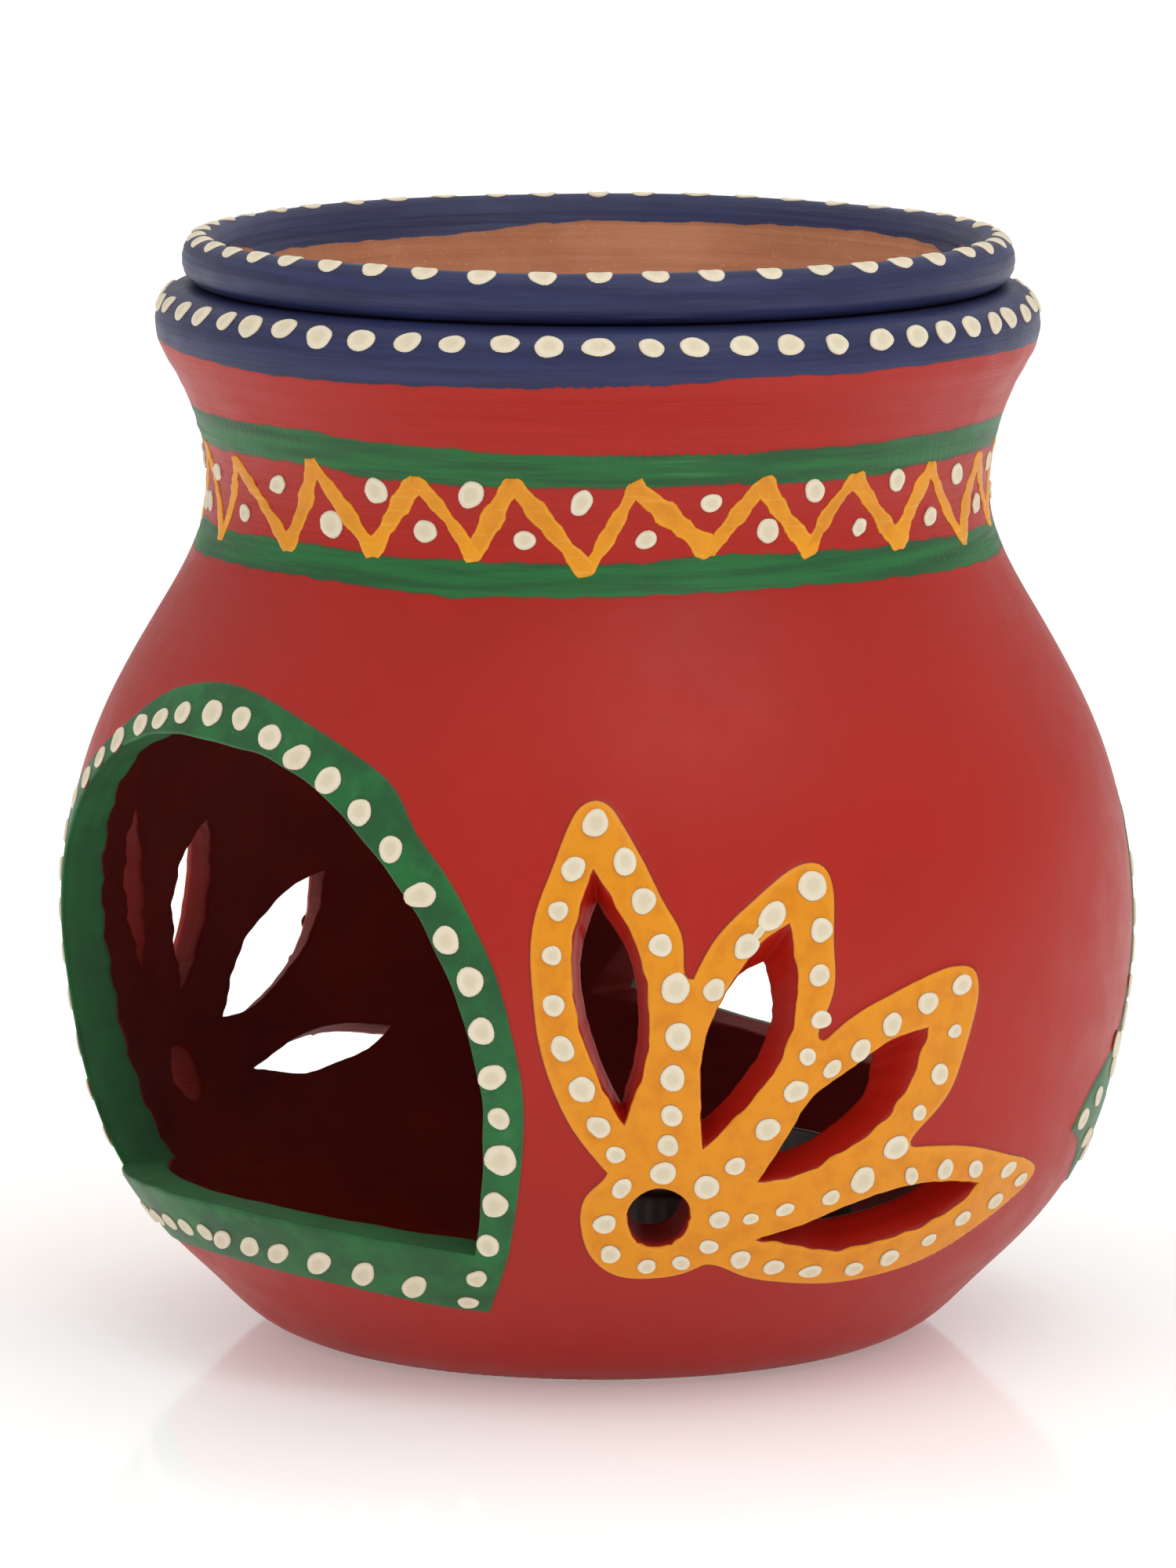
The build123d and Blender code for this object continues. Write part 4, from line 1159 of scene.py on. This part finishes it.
class Paint:
    """A small helper round one node material."""

    def __init__(self, name):
        self.mat = bpy.data.materials.new(name)
        self.mat.use_nodes = True
        self.nt = self.mat.node_tree
        self.nt.nodes.clear()
        self.out = self.nt.nodes.new("ShaderNodeOutputMaterial")
        self.bsdf = self.nt.nodes.new("ShaderNodeBsdfPrincipled")
        self.nt.links.new(self.bsdf.outputs[0], self.out.inputs["Surface"])
        self._pos = None

    def put(self, sock, value):
        if hasattr(value, "default_value") or isinstance(value, bpy.types.NodeSocket):
            self.nt.links.new(value, sock)
        else:
            sock.default_value = value

    def set(self, **kw):
        for k, v in kw.items():
            self.put(self.bsdf.inputs[k.replace("_", " ")], v)

    def attr(self, name):
        n = self.nt.nodes.new("ShaderNodeAttribute")
        n.attribute_name = name
        return n.outputs["Fac"]

    def pos(self):
        if self._pos is None:
            n = self.nt.nodes.new("ShaderNodeTexCoord")
            self._pos = n.outputs["Object"]
        return self._pos

    def scaled(self, x, y, z, vec=None):
        n = self.nt.nodes.new("ShaderNodeMapping")
        n.inputs["Scale"].default_value = (x, y, z)
        self.put(n.inputs["Vector"], vec or self.pos())
        return n.outputs[0]

    def noise(self, scale, detail=3.0, rough=0.55, vec=None, warp=0.0):
        n = self.nt.nodes.new("ShaderNodeTexNoise")
        n.inputs["Scale"].default_value = scale
        n.inputs["Detail"].default_value = detail
        n.inputs["Roughness"].default_value = rough
        n.inputs["Distortion"].default_value = warp
        self.put(n.inputs["Vector"], vec or self.pos())
        return n.outputs["Fac"]

    def m(self, op, a, b=0.0, c=None, clamp=False):
        n = self.nt.nodes.new("ShaderNodeMath")
        n.operation = op
        n.use_clamp = clamp
        self.put(n.inputs[0], a)
        self.put(n.inputs[1], b)
        if c is not None:
            self.put(n.inputs[2], c)
        return n.outputs[0]

    def step(self, v, e0, e1):
        """0 below e0, 1 above e1, smooth between."""
        n = self.nt.nodes.new("ShaderNodeMapRange")
        n.interpolation_type = "SMOOTHSTEP"
        self.put(n.inputs["Value"], v)
        n.inputs["From Min"].default_value = e0
        n.inputs["From Max"].default_value = e1
        return n.outputs["Result"]

    def lerp(self, v, a, b, e0=0.0, e1=1.0):
        n = self.nt.nodes.new("ShaderNodeMapRange")
        self.put(n.inputs["Value"], v)
        n.inputs["From Min"].default_value = e0
        n.inputs["From Max"].default_value = e1
        self.put(n.inputs["To Min"], a)
        self.put(n.inputs["To Max"], b)
        return n.outputs["Result"]

    def mix(self, fac, a, b, kind="MIX"):
        n = self.nt.nodes.new("ShaderNodeMix")
        n.data_type = "RGBA"
        n.blend_type = kind
        self.put(n.inputs[0], fac)
        self.put(n.inputs[6], a)
        self.put(n.inputs[7], b)
        return n.outputs[2]

    def bump(self, height, strength, distance, normal=None):
        n = self.nt.nodes.new("ShaderNodeBump")
        n.inputs["Strength"].default_value = strength
        n.inputs["Distance"].default_value = distance
        self.put(n.inputs["Height"], height)
        if normal is not None:
            self.put(n.inputs["Normal"], normal)
        return n.outputs[0]

    def round_coords(self, around, up):
        """Object coordinates turned into (angle, radius, height), so that a noise runs in streaks round the axis."""
        sep = self.nt.nodes.new("ShaderNodeSeparateXYZ")
        self.put(sep.inputs[0], self.pos())
        x, y, z = sep.outputs
        # a circle of fixed size in noise space keeps the streaks whole round the back
        r = self.m("SQRT", self.m("ADD", self.m("MULTIPLY", x, x), self.m("MULTIPLY", y, y)))
        r = self.m("MAXIMUM", r, 0.001)
        com = self.nt.nodes.new("ShaderNodeCombineXYZ")
        self.put(com.inputs[0], self.m("MULTIPLY", self.m("DIVIDE", x, r), around))
        self.put(com.inputs[1], self.m("MULTIPLY", self.m("DIVIDE", y, r), around))
        self.put(com.inputs[2], self.m("MULTIPLY", z, up))
        return com.outputs[0]


RED = lin(167, 27, 15)
RED_DARK = lin(157, 24, 13)
RED_BAND = lin(165, 28, 17)
GREEN = lin(32, 104, 51)
GREEN_DEEP = lin(30, 82, 44)
GREEN_PALE = lin(82, 130, 90)
BLUE = lin(44, 50, 90)
BLUE_DEEP = lin(35, 39, 74)
BLUE_PALE = lin(72, 77, 108)
YELLOW = lin(221, 140, 14)
YELLOW_DEEP = lin(211, 128, 11)
YELLOW_EDGE_HIGHLIGHT = lin(230, 154, 38)
CLAY = lin(183, 124, 90)
CLAY_DARK = lin(150, 92, 62)
INSIDE = lin(126, 34, 28)
INSIDE_DARK = lin(100, 26, 22)
DOT = lin(214, 202, 176)
DOT_RIM = lin(225, 215, 192)
DOT_EDGE_SHADOW = lin(104, 66, 40)


def pot_material():
    p = Paint("painted_terracotta")
    lot, fra, band = p.attr("lotus"), p.attr("frame"), p.attr("band")
    ins, bare, tun = p.attr("inside"), p.attr("bare"), p.attr("tunnel")
    ring = p.round_coords(2.2, 900.0)
    ring_fine = p.round_coords(3.5, 3800.0)
    streak = p.noise(1.0, 4.0, 0.6, ring)
    streak_fine = p.noise(1.0, 3.0, 0.6, ring_fine)
    cloud = p.noise(26.0, 4.0, 0.55)
    grain = p.noise(1500.0, 3.0, 0.6)
    mottle = p.noise(220.0, 4.0, 0.6)
    edge_noise = p.m("MULTIPLY", p.m("SUBTRACT", p.noise(650.0, 3.0, 0.6), 0.5), 0.34)
    # belly red, a little uneven where the brush turned back
    red = p.mix(p.step(cloud, 0.35, 0.68), RED, RED_DARK)
    red = p.mix(p.m("MULTIPLY", p.step(mottle, 0.5, 0.8), 0.12), red, lin(175, 37, 23))
    red_band = p.mix(p.m("MULTIPLY", p.step(streak, 0.42, 0.7), 0.5), RED_BAND, lin(174, 35, 23))
    # greens go on thin with the pot turning, so they streak
    green = p.mix(p.step(streak, 0.36, 0.62), GREEN_DEEP, GREEN)
    pale = p.m("MULTIPLY", p.step(streak_fine, 0.56, 0.76), p.step(p.noise(48.0, 2.0, 0.5), 0.42, 0.66))
    green = p.mix(p.m("MULTIPLY", pale, 0.55), green, GREEN_PALE)
    blue = p.mix(p.step(streak, 0.34, 0.66), BLUE_DEEP, BLUE)
    blue = p.mix(p.m("MULTIPLY", p.step(streak_fine, 0.58, 0.78), 0.35), blue, BLUE_PALE)
    bn = p.m("ADD", band, p.m("MULTIPLY", edge_noise, 0.12))
    col = red
    col = p.mix(p.step(bn, -0.025, 0.025), col, green)
    col = p.mix(p.step(bn, 0.975, 1.025), col, red_band)
    col = p.mix(p.step(bn, 1.975, 2.025), col, green)
    col = p.mix(p.step(bn, 2.975, 3.025), col, red_band)
    col = p.mix(p.step(bn, 3.985, 4.015), col, blue)
    # where two paints meet, the one under darkens the line
    for k, w in ((0, 0.05), (1, 0.05), (2, 0.05), (3, 0.05), (4, 0.03)):
        near = p.m("SUBTRACT", 1.0, p.step(p.m("ABSOLUTE", p.m("SUBTRACT", bn, float(k))), 0.0, w))
        col = p.mix(p.m("MULTIPLY", near, 0.35), col, lin(58, 34, 30))
    # lotus yellow: deeper in the middle of a stroke, with a painted highlight along the raised edge of the paint and a
    # painted shadow just outside it
    ln = p.m("ADD", lot, p.m("MULTIPLY", edge_noise, 0.35))
    yel = p.mix(p.step(p.noise(420.0, 3.0, 0.6), 0.40, 0.70), YELLOW, YELLOW_DEEP)
    # painted highlight: the yellow turns lighter near its raised edge, where light catches the thick paint
    lotus_edge_highlight = p.m("SUBTRACT", 1.0, p.step(ln, 0.25, 0.75))
    yel = p.mix(p.m("MULTIPLY", lotus_edge_highlight, 0.42), yel, YELLOW_EDGE_HIGHLIGHT)
    # painted shadow: a dark red line just outside the yellow's edge, where the raised paint shades the wall
    lotus_edge_shadow = p.m("MULTIPLY", p.step(ln, -0.38, -0.05), p.m("SUBTRACT", 1.0, p.step(ln, -0.03, 0.06)))
    col = p.mix(p.m("MULTIPLY", lotus_edge_shadow, 0.40), col, lin(92, 26, 20))
    col = p.mix(p.step(ln, -0.07, 0.07), col, yel)
    # window frames and their cut edges
    fn = p.m("ADD", fra, p.m("MULTIPLY", edge_noise, 0.45))
    dab = p.noise(170.0, 4.0, 0.62)
    fgreen = p.mix(p.step(dab, 0.36, 0.66), GREEN_DEEP, GREEN)
    fgreen = p.mix(p.m("MULTIPLY", p.step(p.noise(520.0, 3.0, 0.6), 0.58, 0.8), 0.3), fgreen, GREEN_PALE)
    # painted shadow: a dark red line just outside the green frame's edge, where the raised paint shades the wall
    col = p.mix(p.m("MULTIPLY", p.m("MULTIPLY", p.step(fn, -0.34, -0.05), p.m("SUBTRACT", 1.0, p.step(fn, -0.03, 0.05))), 0.35), col, lin(70, 24, 20))
    # painted light: the cut faces through the wall are painted paler green, as if lit as brightly as the frame's front
    fgreen = p.mix(p.m("MULTIPLY", p.step(tun, 0.02, 0.2), 0.5), fgreen, lin(76, 116, 84))
    col = p.mix(p.step(fn, -0.07, 0.07), col, fgreen)
    # inside: thin dark red wash over the clay, also laid on the cut walls of the front flower's heart, the mirrored
    # flower and the back window, where it is painted shade
    wash = p.mix(p.step(p.noise(34.0, 4.0, 0.6), 0.32, 0.7), INSIDE, INSIDE_DARK)
    wash = p.mix(p.m("MULTIPLY", p.step(streak, 0.5, 0.75), 0.35), wash, lin(104, 30, 23))
    col = p.mix(p.m("MULTIPLY", ins, p.m("SUBTRACT", 1.0, p.step(fn, -0.05, 0.05))), col, wash)
    # bare clay under the base
    clay = p.mix(p.step(mottle, 0.35, 0.7), CLAY, CLAY_DARK)
    clay = p.mix(p.m("MULTIPLY", p.step(p.noise(2400.0, 2.0, 0.5), 0.62, 0.75), 0.5), clay, lin(200, 152, 118))
    bare_n = p.step(p.m("ADD", bare, p.m("MULTIPLY", edge_noise, 0.6)), 0.42, 0.58)
    col = p.mix(bare_n, col, clay)
    rough = p.lerp(mottle, 0.40, 0.50, 0.3, 0.7)
    rough = p.lerp(p.step(ln, -0.05, 0.05), rough, 0.44)
    rough = p.m("ADD", rough, p.m("MULTIPLY", bare_n, 0.36), clamp=True)
    rough = p.m("ADD", rough, p.m("MULTIPLY", ins, 0.12), clamp=True)
    h = p.m("ADD", p.m("MULTIPLY", grain, 0.35), p.m("MULTIPLY", mottle, 0.9))
    streak_zone = p.m("MAXIMUM", p.step(bn, -0.3, 0.0), ins)
    h = p.m("ADD", h, p.m("MULTIPLY", p.m("MULTIPLY", streak_fine, streak_zone), 1.6))
    nrm = p.bump(h, 0.55, 0.00009)
    p.set(Base_Color=col, Roughness=rough, Normal=nrm, Specular_IOR_Level=p.lerp(p.m("MAXIMUM", p.step(tun, 0.0, 0.5), ins), 0.32, 0.07))
    p.bsdf.inputs["IOR"].default_value = 1.46
    return p.mat


def dish_material():
    p = Paint("dish_paint_and_clay")
    blue_d, deep = p.attr("blue"), p.attr("deep")
    streak = p.noise(1.0, 4.0, 0.6, p.round_coords(2.4, 850.0))
    fine = p.noise(1.0, 3.0, 0.6, p.round_coords(4.0, 3600.0))
    mottle = p.noise(240.0, 4.0, 0.6)
    edge = p.m("MULTIPLY", p.m("SUBTRACT", p.noise(520.0, 3.0, 0.6), 0.5), 0.5)
    blue = p.mix(p.step(streak, 0.34, 0.66), BLUE_DEEP, BLUE)
    blue = p.mix(p.m("MULTIPLY", p.step(fine, 0.56, 0.78), 0.40), blue, BLUE_PALE)
    clay = p.mix(p.step(p.noise(60.0, 4.0, 0.6), 0.3, 0.7), CLAY, lin(166, 107, 75))
    clay = p.mix(p.m("MULTIPLY", p.step(streak, 0.45, 0.7), 0.35), clay, CLAY_DARK)
    clay = p.mix(p.m("MULTIPLY", p.step(p.noise(1900.0, 2.0, 0.5), 0.64, 0.74), 0.4), clay, lin(204, 158, 124))
    bd = p.m("ADD", blue_d, edge)
    col = p.mix(p.step(bd, -0.08, 0.08), clay, blue)
    wash = p.m("MULTIPLY", p.step(bd, -0.9, 0.0), p.m("SUBTRACT", 1.0, p.step(bd, -0.05, 0.05)))
    col = p.mix(p.m("MULTIPLY", wash, 0.22), col, lin(112, 72, 66))
    h = p.m("ADD", p.m("MULTIPLY", p.noise(1500.0, 3.0, 0.6), 0.4), p.m("MULTIPLY", fine, 1.5))
    h = p.m("ADD", h, p.m("MULTIPLY", mottle, 0.7))
    p.set(Base_Color=col, Roughness=p.lerp(p.step(bd, -0.08, 0.08), p.lerp(mottle, 0.62, 0.78, 0.3, 0.7), p.lerp(mottle, 0.40, 0.5, 0.3, 0.7)),
          Normal=p.bump(h, 0.5, 0.00009))
    p.bsdf.inputs["IOR"].default_value = 1.46
    p.bsdf.inputs["Specular IOR Level"].default_value = 0.32
    return p.mat


def dot_material():
    p = Paint("dot_paint")
    rho, tone = p.attr("rho"), p.attr("tone")
    fine = p.noise(900.0, 3.0, 0.6)
    col = p.mix(p.step(rho, 0.30, 0.74), DOT, DOT_RIM)
    col = p.mix(p.m("MULTIPLY", p.step(fine, 0.45, 0.7), 0.22), col, lin(203, 190, 160))
    col = p.mix(p.m("MULTIPLY", p.step(tone, 0.2, 1.0), 0.16), col, lin(206, 192, 160))
    # painted shadow: a thin dark brown line round each dot's edge, where the raised dot meets the wall
    col = p.mix(p.step(rho, 0.965, 1.0), col, DOT_EDGE_SHADOW)
    p.set(Base_Color=col, Roughness=p.lerp(fine, 0.42, 0.56, 0.3, 0.7), Normal=p.bump(fine, 0.4, 0.00006))
    p.bsdf.inputs["IOR"].default_value = 1.46
    p.bsdf.inputs["Specular IOR Level"].default_value = 0.32
    return p.mat


def zigzag_material():
    p = Paint("zigzag_paint")
    rho, tone = p.attr("rho"), p.attr("tone")
    streak = p.noise(1.0, 3.0, 0.6, p.round_coords(5.0, 2600.0))
    blot = p.noise(330.0, 3.0, 0.6)
    thin_ = p.mix(p.step(blot, 0.35, 0.65), lin(208, 130, 16), lin(220, 142, 22))
    col = p.mix(p.step(tone, 0.15, 0.8), thin_, lin(228, 150, 20))
    # painted highlight: each stroke turns lighter across its raised shoulders towards the edge
    col = p.mix(p.m("MULTIPLY", p.step(rho, 0.45, 0.85), 0.45), col, lin(238, 166, 46))
    col = p.mix(p.m("MULTIPLY", p.step(streak, 0.56, 0.72), 0.38), col, lin(244, 184, 84))
    # painted shadow: a thin dark line along each stroke's edge, where the raised paint meets the wall
    col = p.mix(p.step(rho, 0.97, 1.0), col, lin(120, 44, 22))
    p.set(Base_Color=col, Roughness=p.lerp(blot, 0.38, 0.5, 0.3, 0.7), Normal=p.bump(p.m("ADD", blot, streak), 0.45, 0.00008))
    p.bsdf.inputs["IOR"].default_value = 1.46
    p.bsdf.inputs["Specular IOR Level"].default_value = 0.35
    return p.mat


def foil_material():
    p = Paint("tealight_foil")
    n = p.noise(1.0, 3.0, 0.6, p.scaled(260.0, 260.0, 2600.0))
    spot = p.noise(240.0, 3.0, 0.5)
    p.set(Base_Color=p.mix(p.step(spot, 0.35, 0.7), lin(122, 118, 118), lin(104, 100, 100)),
          Roughness=p.lerp(n, 0.46, 0.58, 0.3, 0.7), Normal=p.bump(p.m("ADD", n, spot), 0.35, 0.00005))
    p.bsdf.inputs["Metallic"].default_value = 1.0
    return p.mat


def wax_material():
    p = Paint("candle_wax")
    n = p.noise(190.0, 4.0, 0.55)
    p.set(Base_Color=p.mix(p.step(n, 0.35, 0.7), lin(240, 236, 226), lin(228, 222, 208)),
          Roughness=p.lerp(n, 0.30, 0.42, 0.3, 0.7), Normal=p.bump(n, 0.3, 0.0001))
    p.bsdf.inputs["Subsurface Weight"].default_value = 0.35
    p.bsdf.inputs["Subsurface Radius"].default_value = (1.0, 0.8, 0.55)
    p.bsdf.inputs["Subsurface Scale"].default_value = 0.0025
    return p.mat


def wick_material():
    p = Paint("cotton_wick")
    tone = p.attr("tone")
    n = p.noise(3200.0, 3.0, 0.6)
    col = p.mix(p.step(n, 0.35, 0.7), lin(236, 230, 214), lin(206, 196, 172))
    col = p.mix(p.m("MULTIPLY", p.step(tone, 0.93, 1.0), 0.35), col, lin(150, 132, 104))
    p.set(Base_Color=col, Roughness=p.lerp(n, 0.8, 0.95), Normal=p.bump(n, 0.6, 0.00012))
    return p.mat


def tab_material():
    p = Paint("wick_tab_tin")
    n = p.noise(700.0, 3.0, 0.6)
    p.set(Base_Color=p.mix(p.step(n, 0.35, 0.7), lin(190, 190, 186), lin(166, 166, 162)), Roughness=p.lerp(n, 0.28, 0.42, 0.3, 0.7),
          Normal=p.bump(n, 0.3, 0.00005))
    p.bsdf.inputs["Metallic"].default_value = 1.0
    return p.mat


def floor_material():
    p = Paint("studio_floor")
    sep = p.nt.nodes.new("ShaderNodeSeparateXYZ")
    p.put(sep.inputs[0], p.pos())
    x, y, _ = sep.outputs
    r = p.m("SQRT", p.m("ADD", p.m("MULTIPLY", x, x), p.m("MULTIPLY", y, y)))
    n = p.noise(9.0, 3.0, 0.5)
    p.set(Base_Color=p.mix(p.step(n, 0.3, 0.7), (0.90, 0.90, 0.90, 1), (0.88, 0.88, 0.88, 1)),
          Roughness=p.lerp(n, 0.62, 0.70))
    p.bsdf.inputs["Specular IOR Level"].default_value = 0.1
    p.bsdf.inputs["Emission Color"].default_value = (1.0, 1.0, 1.0, 1.0)
    p.bsdf.inputs["Emission Strength"].default_value = 0.36
    gloss = p.nt.nodes.new("ShaderNodeBsdfGlossy")
    p.put(gloss.inputs["Color"], p.mix(p.step(n, 0.3, 0.7), (1.0, 1.0, 1.0, 1), (0.97, 0.97, 0.97, 1)))
    gloss.inputs["Roughness"].default_value = 0.09
    blend = p.nt.nodes.new("ShaderNodeMixShader")
    p.put(blend.inputs[0], p.m("MULTIPLY", p.m("SUBTRACT", 1.0, p.step(r, 0.020, 0.185)), 0.33))
    p.nt.links.new(p.bsdf.outputs[0], blend.inputs[1])
    p.nt.links.new(gloss.outputs[0], blend.inputs[2])
    p.nt.links.new(blend.outputs[0], p.out.inputs["Surface"])
    return p.mat


# =====================================================================================
# put together
# =====================================================================================

painted = pot_material()
dotty = dot_material()

pot = build_pot()
pot.data.materials.append(painted)
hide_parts("pot_body")
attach(pot, "pot")

for name, items, base, seed in (
    ("dots_collar", COLLAR, 0.0, 1), ("dots_zigzag", ZIG, 0.0, 2), ("dots_front_window", DOTS_W1, 0.17, 3),
    ("dots_back_window", DOTS_W2, 0.17, 4), ("dots_lotus_right", DOTS_L1, 0.21, 5), ("dots_lotus_left", DOTS_L2, 0.21, 6),
):
    d = dots(name, items, on_wall, base, 0.28, seed)
    d.data.materials.append(dotty)
    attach(d, "pot")

zz = zigzag()
zz.data.materials.append(zigzag_material())
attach(zz, "pot")

dish = build_dish()
dish.data.materials.append(dish_material())
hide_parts("oil_dish")
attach(dish, "dish")
d = dots("dots_lip", LIP_DOTS, on_dish, 0.0, 0.21, 9)
d.data.materials.append(dotty)
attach(d, "dish")

finishes = {"tealight_cup": (foil_material(), "tealight_cup"), "tealight_wax": (wax_material(), "wax"),
            "wick_sustainer": (tab_material(), "sustainer"), "tealight_wick": (wick_material(), "wick")}
for piece, node in build_candle():
    piece.data.materials.append(finishes[node][0])
    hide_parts(node)
    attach(piece, "candle")

# hidden CAD nodes keep a finish too
for node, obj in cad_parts.items():
    mat = {"pot_body": painted, "oil_dish": dish.data.materials[0]}.get(node) or finishes.get(node, (painted,))[0]
    obj.data.materials.clear()
    obj.data.materials.append(mat)

# floor, light and camera
n = 48
fv = [(7.0 * math.cos(TAU * k / n), 7.0 * math.sin(TAU * k / n), -0.0002) for k in range(n)]
floor_mesh = bpy.data.meshes.new("studio_floor")
floor_mesh.from_pydata(fv, [], [tuple(range(n))])
floor = bpy.data.objects.new("studio_floor", floor_mesh)
scene.collection.objects.link(floor)
floor_mesh.materials.append(floor_material())

world = bpy.data.worlds.new("studio")
scene.world = world
world.use_nodes = True
bg = world.node_tree.nodes["Background"]
bg.inputs[0].default_value = (1.0, 0.985, 0.955, 1)
sky = world.node_tree.nodes.new("ShaderNodeTexCoord")
sky_xyz = world.node_tree.nodes.new("ShaderNodeSeparateXYZ")
sky_up = world.node_tree.nodes.new("ShaderNodeMapRange")      # brighter overhead than at eye level
for sock, value in (("From Min", 0.0), ("From Max", 0.8), ("To Min", 0.47), ("To Max", 0.98)):
    sky_up.inputs[sock].default_value = value
world.node_tree.links.new(sky.outputs["Generated"], sky_xyz.inputs[0])
world.node_tree.links.new(sky_xyz.outputs[2], sky_up.inputs["Value"])
world.node_tree.links.new(sky_up.outputs["Result"], bg.inputs[1])


def area(name, where, look, size_x, size_y, watts, colour=(1, 1, 1)):
    light = bpy.data.lights.new(name, "AREA")
    light.shape = "RECTANGLE"
    light.size, light.size_y = size_x, size_y
    light.energy = watts
    light.color = colour
    o = bpy.data.objects.new(name, light)
    scene.collection.objects.link(o)
    o.location = where
    o.rotation_euler = (Vector(look) - Vector(where)).to_track_quat("-Z", "Y").to_euler()
    return o


def around(az_deg, el_deg, dist, z0=0.06):
    """A place seen from the lamp at an angle right of the camera's side and up."""
    a, e = math.radians(51.5 + az_deg), math.radians(el_deg)
    return (dist * math.cos(e) * math.sin(a), -dist * math.cos(e) * math.cos(a), z0 + dist * math.sin(e))


area("key", around(32, 52, 0.95), (0, 0, 0.06), 0.55, 0.55, 1.8)
area("top", (0.0, 0.0, 1.15), (0, 0, 0.05), 0.9, 0.9, 1.0)

CAM_D, CAM_H = 1083.9, 228.2
pitch, yaw, roll, az = (math.radians(v) for v in (8.91, -0.048, 0.12, 51.5))
fwd = np.array([math.sin(yaw) * math.cos(pitch), math.cos(yaw) * math.cos(pitch), -math.sin(pitch)])
right = np.array([math.cos(yaw), -math.sin(yaw), 0.0])
up = np.cross(right, fwd)
rt = math.cos(roll) * right + math.sin(roll) * up
upv = -math.sin(roll) * right + math.cos(roll) * up
turn = np.array([[math.cos(az), -math.sin(az), 0], [math.sin(az), math.cos(az), 0], [0, 0, 1.0]])
rt, upv, fwd = turn @ rt, turn @ upv, turn @ fwd
where = turn @ np.array([0, -CAM_D, CAM_H]) * MM
cam = bpy.data.cameras.new("photo_camera")
cam.lens, cam.sensor_width, cam.sensor_fit = 234.3, 36.0, "AUTO"
cam.clip_start, cam.clip_end = 0.01, 20.0
cam_obj = bpy.data.objects.new("photo_camera", cam)
scene.collection.objects.link(cam_obj)
cam_obj.matrix_world = Matrix(((rt[0], upv[0], -fwd[0], where[0]), (rt[1], upv[1], -fwd[1], where[1]),
                               (rt[2], upv[2], -fwd[2], where[2]), (0, 0, 0, 1)))
scene.camera = cam_obj
scene.view_settings.view_transform = "Standard"

bpy.context.view_layer.update()
